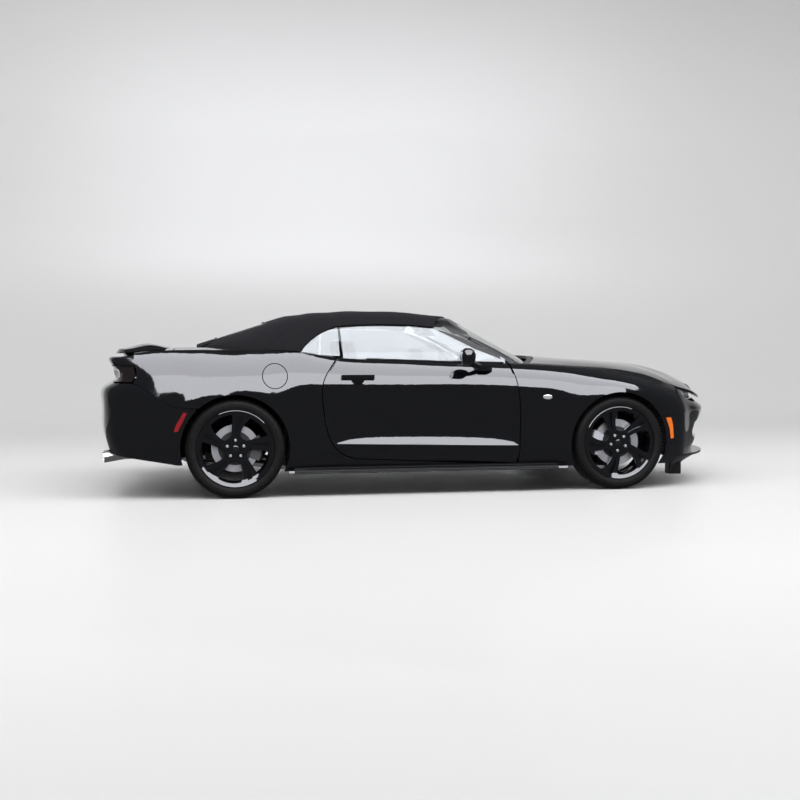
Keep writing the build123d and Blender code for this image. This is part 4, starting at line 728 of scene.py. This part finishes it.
piece("arch_liners", liners, seal_rubber, "body")
finish(bare_metal("engine_casting", (0.05, 0.05, 0.055), (0.1, 0.1, 0.105), 0.6), "engine_block")
finish(bare_metal("pipe_steel", (0.42, 0.41, 0.39), (0.6, 0.59, 0.56), 0.25), "exhaust")


# ---------------------------------------------------------------- seats
# Leather over foam: crowned pads whose sides draw in between the corners, sewn flutes and piped edges.
# They replace the CAD seats and stand on plastic plinths and slide rails. Each front head rest has two posts.
ROUNDNESS, SIDES_DRAWN = 5.0, 0.035


def pad_point(size, p, crown, bolster):
    """A place on a stuffed pad, from a place on a cube of half side 1; the thin way of the pad is its Z."""
    far = (abs(p.x) ** ROUNDNESS + abs(p.y) ** ROUNDNESS + abs(p.z) ** ROUNDNESS) ** (1 / ROUNDNESS)
    q = p / far
    drawn_x = 1 - SIDES_DRAWN * (1 - q.y * q.y)
    drawn_y = 1 - SIDES_DRAWN * (1 - q.x * q.x)
    at = Vector((q.x * size[0] / 2 * drawn_x, q.y * size[1] / 2 * drawn_y, q.z * size[2] / 2))
    face = max(0.0, q.z) ** 2
    at.z += crown * (1 - q.x ** 2) * (1 - q.y ** 2) * face
    edge = min(1.0, max(0.0, (abs(q.y) - 0.52) / 0.2))
    at.z += bolster * edge * edge * (3 - 2 * edge) * (1 - q.x ** 4) * face
    # a groove inside each side bolster, and sewn flutes between the grooves
    for groove in (0.50, -0.50):
        at.z -= 0.008 * math.exp(-((q.y - groove) / 0.035) ** 2) * face * (bolster > 0)
    if abs(q.y) < 0.5 or bolster == 0:
        for k in range(-3, 4):
            at.z -= 0.0045 * math.exp(-((q.x - k * 0.235) / 0.028) ** 2) * face
    return at


def stuffed_pad(shape, size, place, crown, bolster, cuts=34):
    """Add a pad, and the piping round its face, to a bmesh."""
    pad = bmesh.new()
    bmesh.ops.create_cube(pad, size=2.0)
    bmesh.ops.subdivide_edges(pad, edges=pad.edges[:], cuts=cuts, use_grid_fill=True)
    for v in pad.verts:
        v.co = place @ pad_point(size, v.co.copy(), crown, bolster)
    mesh = bpy.data.meshes.new("pad")
    pad.to_mesh(mesh)
    pad.free()
    shape.from_mesh(mesh)
    bpy.data.meshes.remove(mesh)
    line = []
    for k in range(96):
        a = 2 * math.pi * k / 96
        c, s = math.cos(a), math.sin(a)
        reach = max(abs(c), abs(s))
        edge = Vector((c / reach * 0.985, s / reach * 0.985, 0.80))
        line.append(place @ pad_point(size, edge, crown, bolster))
    tube(shape, line, 0.0032, 6, closed=True)


def leaned(x, y, z, degrees):
    """The place of an upright pad that faces forward and leans back."""
    return Matrix.Translation((x, y, z)) @ turned(-degrees, "Y") @ turned(90, "Y")


def leather(name):
    material, tree, shader = new_material(name)
    where = tree.nodes.new("ShaderNodeTexCoord")
    cells = tree.nodes.new("ShaderNodeTexVoronoi")
    cells.inputs["Scale"].default_value = 350
    tree.links.new(where.outputs["Object"], cells.inputs["Vector"])
    tint = ramp(tree, cells.outputs["Distance"], (0.012, 0.012, 0.013), (0.03, 0.03, 0.032))
    tree.links.new(tint.outputs["Color"], shader.inputs["Base Color"])
    shader.inputs["Roughness"].default_value = 0.45
    bumped(tree, shader, cells.outputs["Distance"], 0.3, 0.0006)
    return material


hide = leather("black_leather")
finish(hide, "steering_wheel")
FRONT_SEAT_Y, REAR_SEAT_Y = 0.385, 0.260
front_pads = bmesh.new()
for side in (1, -1):
    y = side * FRONT_SEAT_Y
    stuffed_pad(front_pads, (0.52, 0.48, 0.130), Matrix.Translation((-0.117, y, 0.398)), 0.012, 0.028)
    stuffed_pad(front_pads, (0.56, 0.47, 0.112), leaned(-0.442, y, 0.700, 20), 0.010, 0.024)
    stuffed_pad(front_pads, (0.15, 0.25, 0.085), leaned(-0.557, y, 1.030, 14), 0.008, 0.0, 16)
bmesh.ops.recalc_face_normals(front_pads, faces=front_pads.faces)
front_covers = piece("front_seat_covers", front_pads, hide, "body")
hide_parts("front_seats")
rear_pads = bmesh.new()
for side in (1, -1):
    y = side * REAR_SEAT_Y
    stuffed_pad(rear_pads, (0.285, 0.512, 0.150), Matrix.Translation((-0.782, y, 0.418)), 0.010, 0.018, 26)
    stuffed_pad(rear_pads, (0.41, 0.512, 0.098), leaned(-0.947, y, 0.680, 10), 0.008, 0.016, 26)
bmesh.ops.recalc_face_normals(rear_pads, faces=rear_pads.faces)
rear_covers = piece("rear_seat_covers", rear_pads, hide, "body")
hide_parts("rear_seat")


def box_into(shape, low, high, bevel=0.0):
    """Add a box, given by its low and high corners, with its edges rounded."""
    middle = [(a + b) / 2 for a, b in zip(low, high)]
    size = [b - a for a, b in zip(low, high)]
    place = Matrix.Translation(middle) @ Matrix.Diagonal(size + [1])
    made = bmesh.ops.create_cube(shape, size=1.0, matrix=place)
    if bevel:
        edges = list({e for v in made["verts"] for e in v.link_edges})
        bmesh.ops.bevel(shape, geom=edges, offset=bevel, segments=3, affect="EDGES", profile=0.5, material=-1)


# plinths, slide rails and head rest posts of the front seats, then the plinths of the rear seat
seat_frames = bmesh.new()
for side in (1, -1):
    y = side * FRONT_SEAT_Y
    box_into(seat_frames, (-0.290, y - 0.185, 0.232), (0.060, y + 0.185, 0.345), 0.012)
    for rail in (-0.17, 0.17):
        box_into(seat_frames, (-0.300, y + rail - 0.016, 0.200), (0.070, y + rail + 0.016, 0.236), 0.003)
    for post in (-0.055, 0.055):
        tube(seat_frames, [Vector((-0.524, y + post, 0.930)), Vector((-0.553, y + post, 1.000))], 0.006)
for side in (1, -1):
    right, left = sorted((side * 0.16, side * 0.48))
    box_into(seat_frames, (-0.920, right, 0.200), (-0.672, left, 0.350), 0.010)
piece("seat_frames", seat_frames, grained, "body", smooth=False)


# ---------------------------------------------------------------- cabin fittings
# Polished plastic: four round air vents with slats, a centre screen and two dials on the dashboard's face,
# a selector on the tunnel, three pedals on arms, and a rear-view mirror on a stem at the top of the screen.
dash_tree = surface_tree("dashboard")[0]
SLAT_PITCH = 0.013


def dash_face(y, z):
    """The point of the dashboard's cabin side at a height, or None past its edge."""
    return dash_tree.ray_cast(Vector((-0.60, y, z)), Vector((1, 0, 0)), 2.0)[0]


def dash_disc(shape, at, proud, foot_radius, top_radius, depth):
    """Add a round piece to the dashboard's face, toward the cabin."""
    place = Matrix.Translation(at + Vector((-proud, 0, 0))) @ turned(-90, "Y")
    cone(shape, place, foot_radius, top_radius, depth, 40)


vents = bmesh.new()
for y in (0.60, 0.10, -0.10, -0.60):
    at = dash_face(y, 0.775)
    if at is None:
        continue
    dash_disc(vents, at, 0.004, 0.046, 0.040, 0.016)
    for k in (-2, -1, 0, 1, 2):
        reach = math.sqrt(max(0.0, 0.034 ** 2 - (k * SLAT_PITCH) ** 2))
        z = at.z + k * SLAT_PITCH
        box_into(vents, (at.x - 0.0165, at.y - reach, z - 0.002), (at.x - 0.0110, at.y + reach, z + 0.002))
piece("air_vents", vents, polished, "body", smooth=False)
screens = bmesh.new()
at = dash_face(0.0, 0.86)
if at is not None:
    box_into(screens, (at.x - 0.012, -0.105, 0.800), (at.x + 0.002, 0.105, 0.895), 0.004)
for y in (0.30, 0.47):
    at = dash_face(y, 0.83)
    if at is not None:
        dash_disc(screens, at, 0.005, 0.055, 0.050, 0.014)
piece("dials_and_screen", screens, black_plastic("screen_face", 0.06, 0.0), "body", smooth=False)
controls = bmesh.new()
tube(controls, [Vector((-0.02, 0.0, 0.520)), Vector((-0.03, 0.0, 0.600))], 0.009)
ball(controls, Matrix.Translation((-0.032, 0.0, 0.612)), 0.026, 20, 14)
for y, half_width in ((0.30, 0.030), (0.40, 0.045), (0.50, 0.030)):
    box_into(controls, (0.520, y - half_width, 0.300), (0.534, y + half_width, 0.372), 0.004)
    tube(controls, [Vector((0.530, y, 0.350)), Vector((0.640, y, 0.520))], 0.008)
piece("selector_and_pedals", controls, polished, "body")
rear_view = bmesh.new()
box_into(rear_view, (0.040, -0.125, 1.160), (0.064, 0.125, 1.224), 0.010)
tube(rear_view, [Vector((0.058, 0, 1.210)), Vector((0.120, 0, 1.262))], 0.007)
piece("rear_view_mirror", rear_view, polished, "body", smooth=False)


# ---------------------------------------------------------------- seals, mouldings and wipers
# Rubber strips along the window sills and the feet of the side skirts, and a black band on the door glass.
# Silvered glass in the door mirrors, and two wipers with rubber blades, laid on the screen from its foot.
BAND_FOOT = [(0.02, 1.200), (0.20, 1.108), (0.32, 1.045), (0.41, 1.009), (0.53, 0.962)]
SKIRT_STRIP_TOP = 0.208
GLASS_REACH, SKIRT_REACH = 1.2, 0.6


def beside(tree, side, x, z, reach):
    """The outermost point of a panel at a length and a height, or None where it has none."""
    return tree.ray_cast(Vector((x, side * 1.3, z)), Vector((0, -side, 0)), reach)[0]


def surface_band(tree, side, stations, reach, proud, rows):
    """A thin band that stands proud of a panel, from its (x, foot, top) at each station along it."""
    band = bmesh.new()
    columns = []
    for x, foot, top in stations:
        column = []
        for row in range(rows + 1):
            at = beside(tree, side, x, foot + (top - foot) * row / rows, reach)
            if at is not None:
                column.append(band.verts.new(at + Vector((0, side * proud, 0))))
        if len(column) == rows + 1:
            columns.append(column)
    for first, second in zip(columns, columns[1:]):
        for row in range(rows):
            band.faces.new((first[row], first[row + 1], second[row + 1], second[row]))
    bmesh.ops.recalc_face_normals(band, faces=band.faces)
    return band


for side, word in SIDES:
    door_tree = surface_tree("door_" + word)[0]
    strip = bmesh.new()
    line = []
    for k in range(90):
        x = -0.655 + 1.19 * k / 89
        y = 0.8035 - 0.012 * (x / 0.6) ** 2
        at = door_tree.ray_cast(Vector((x, side * y, 1.3)), DOWN, 0.5)[0]
        if at is not None:
            line.append(at + Vector((0, 0, 0.0035)))
    if len(line) > 5:
        tube(strip, line, 0.0062)
    piece("sill_strip_" + word, strip, seal_rubber, "door_" + word)
    # black band printed along the sloping front edge of the door glass
    glass_tree = surface_tree("door_glass_" + word)[0]
    stations = []
    for k in range(61):
        x = 0.045 + 0.470 * k / 60
        a, b = next(pair for pair in zip(BAND_FOOT, BAND_FOOT[1:]) if x <= pair[1][0])
        foot = a[1] + (b[1] - a[1]) * (x - a[0]) / (b[0] - a[0])
        top = foot
        while beside(glass_tree, side, x, top + 0.001, GLASS_REACH) is not None:
            top += 0.001
        stations.append((x, foot, top))
    band = surface_band(glass_tree, side, stations, GLASS_REACH, 0.0012, 6)
    piece("door_glass_band_" + word, band, satin, "door_" + word)
    # rubber strip along the foot of the side skirt
    skirt_tree = surface_tree("bodyside_" + word)[0]
    stations = []
    for k in range(101):
        x = -1.01 + 1.93 * k / 100
        foot = 0.140
        while foot < 0.180 and beside(skirt_tree, side, x, foot, SKIRT_REACH) is None:
            foot += 0.001
        stations.append((x, foot, SKIRT_STRIP_TOP))
    skirt = surface_band(skirt_tree, side, stations, SKIRT_REACH, 0.0015, 8)
    piece("skirt_foot_" + word, skirt, seal_rubber, "body")
    # silvered glass on the rear face of the door mirror
    low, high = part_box("mirror_" + word)
    probe = Vector((low[0] - 0.3, (low[1] + high[1]) / 2 + side * 0.03, high[2] - 0.075))
    at = surface_tree("mirror_" + word)[0].ray_cast(probe, Vector((1, 0, 0)), 1.0)[0]
    if at is not None:
        silver = bmesh.new()
        box_into(silver, at - Vector((0.003, 0.072, 0.046)), at + Vector((0.002, 0.072, 0.046)), 0.0015)
        silvered = bare_metal("silvered_" + word, (0.7, 0.7, 0.72), (0.75, 0.75, 0.77), 0.03)
        piece("mirror_glass_" + word, silver, silvered, "door_" + word, smooth=False)
screen_tree = surface_tree("windscreen")[0]


def onto_screen(x, y):
    """The screen's surface under a point, and the way it faces, or None twice."""
    return screen_tree.ray_cast(Vector((x, y, 1.6)), DOWN, 1.2)[:2]


wipers = bmesh.new()
for pivot, start, stop in ((0.40, 0.50, -0.06), (-0.22, -0.10, -0.58)):
    blade = []
    for k in range(40):
        y = start + (stop - start) * k / 39
        foot_x = 0.98
        while foot_x > 0.5 and onto_screen(foot_x, y)[0] is None:
            foot_x -= 0.004
        at, normal = onto_screen(foot_x - 0.022, y)
        if at is not None:
            blade.append(at + normal * (0.009 if normal.z > 0 else -0.009))
    if len(blade) > 4:
        tube(wipers, blade, 0.0055, 6)
        middle = blade[len(blade) // 2] + Vector((0.004, 0, 0.010))
        foot = Vector((blade[0].x + 0.055, pivot, blade[0].z - 0.006))
        tube(wipers, [foot, (foot + middle) / 2 + Vector((0.008, 0, 0.010)), middle], 0.0070)
        cone(wipers, Matrix.Translation(foot), 0.017, 0.013, 0.030, 20)
piece("wipers", wipers, seal_rubber, "body")


# ---------------------------------------------------------------- lamp interiors and bare badge places
# Pale light guides in two rounded rings on each tail lamp, and three plated balls inside each headlamp.
# A blank plated oval on each fender and a plain cap on each hub, where a badge would sit.
guide_material, guide_nodes, guide_shader = new_material("light_guide")
guide_tint = ramp(guide_nodes, noise(guide_nodes, 60).outputs["Fac"], (0.52, 0.50, 0.50), (0.66, 0.64, 0.64))
guide_nodes.links.new(guide_tint.outputs["Color"], guide_shader.inputs["Base Color"])
guide_shader.inputs["Roughness"].default_value = 0.2
tail_tree = surface_tree("tail_lamps")[0]
guides = bmesh.new()
for side in (1, -1):
    for middle, heading in ((0.665, 28), (0.470, 4)):
        aim = Vector((math.cos(math.radians(heading)), -side * math.sin(math.radians(heading)), 0))
        across = Vector((-aim.y, aim.x, 0))
        line = []
        for k in range(48):
            a = 2 * math.pi * k / 48
            c, s = math.cos(a), math.sin(a)
            far = (abs(c) ** 5 + abs(s) ** 5) ** 0.2
            ring_point = across * (0.070 * c / far) + Vector((0, 0, 0.029 * s / far))
            start = Vector((-2.22, side * middle, 0.867)) + ring_point - aim * 0.5
            at = tail_tree.ray_cast(start, aim, 1.2)[0]
            if at is not None:
                line.append(at - aim * 0.0005)
        if len(line) > 20:
            tube(guides, line, 0.0055, 6, closed=True)
piece("tail_light_guides", guides, guide_material, "body")
head_low, head_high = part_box("headlamps")
reflectors = bmesh.new()
for side in (1, -1):
    for k in range(3):
        x = head_high[0] - 0.075 - 0.050 * k
        y = side * (head_high[1] - 0.165 + 0.040 * k)
        ball(reflectors, Matrix.Translation((x, y, (head_low[2] + head_high[2]) / 2)), 0.017, 20, 12)
piece("headlamp_projectors", reflectors, plated, "body")
badges = bmesh.new()
for side, word in SIDES:
    fender_tree = surface_tree("fender_" + word)[0]
    at, normal = fender_tree.ray_cast(Vector((0.833, side * 1.3, 0.690)), Vector((0, -side, 0)), 1.0)[:2]
    if at is not None:
        stand = Matrix.Translation(at) @ normal.to_track_quat("Z", "X").to_matrix().to_4x4()
        ball(badges, stand @ Matrix.Diagonal((0.017, 0.036, 0.0016, 1)), 1.0, 32, 16)
piece("bare_badge_ovals", badges, plated, "body")
for wheel in WHEELS:
    cap = bmesh.new()
    place = Matrix.Translation((0, wheel.face - 0.004, 0)) @ Matrix.Diagonal((0.026, 0.006, 0.026, 1))
    ball(cap, wheel_place(wheel) @ place, 1.0, 32, 12)
    piece("hub_cap_" + wheel.name, cap, polished, "wheel_" + wheel.name)
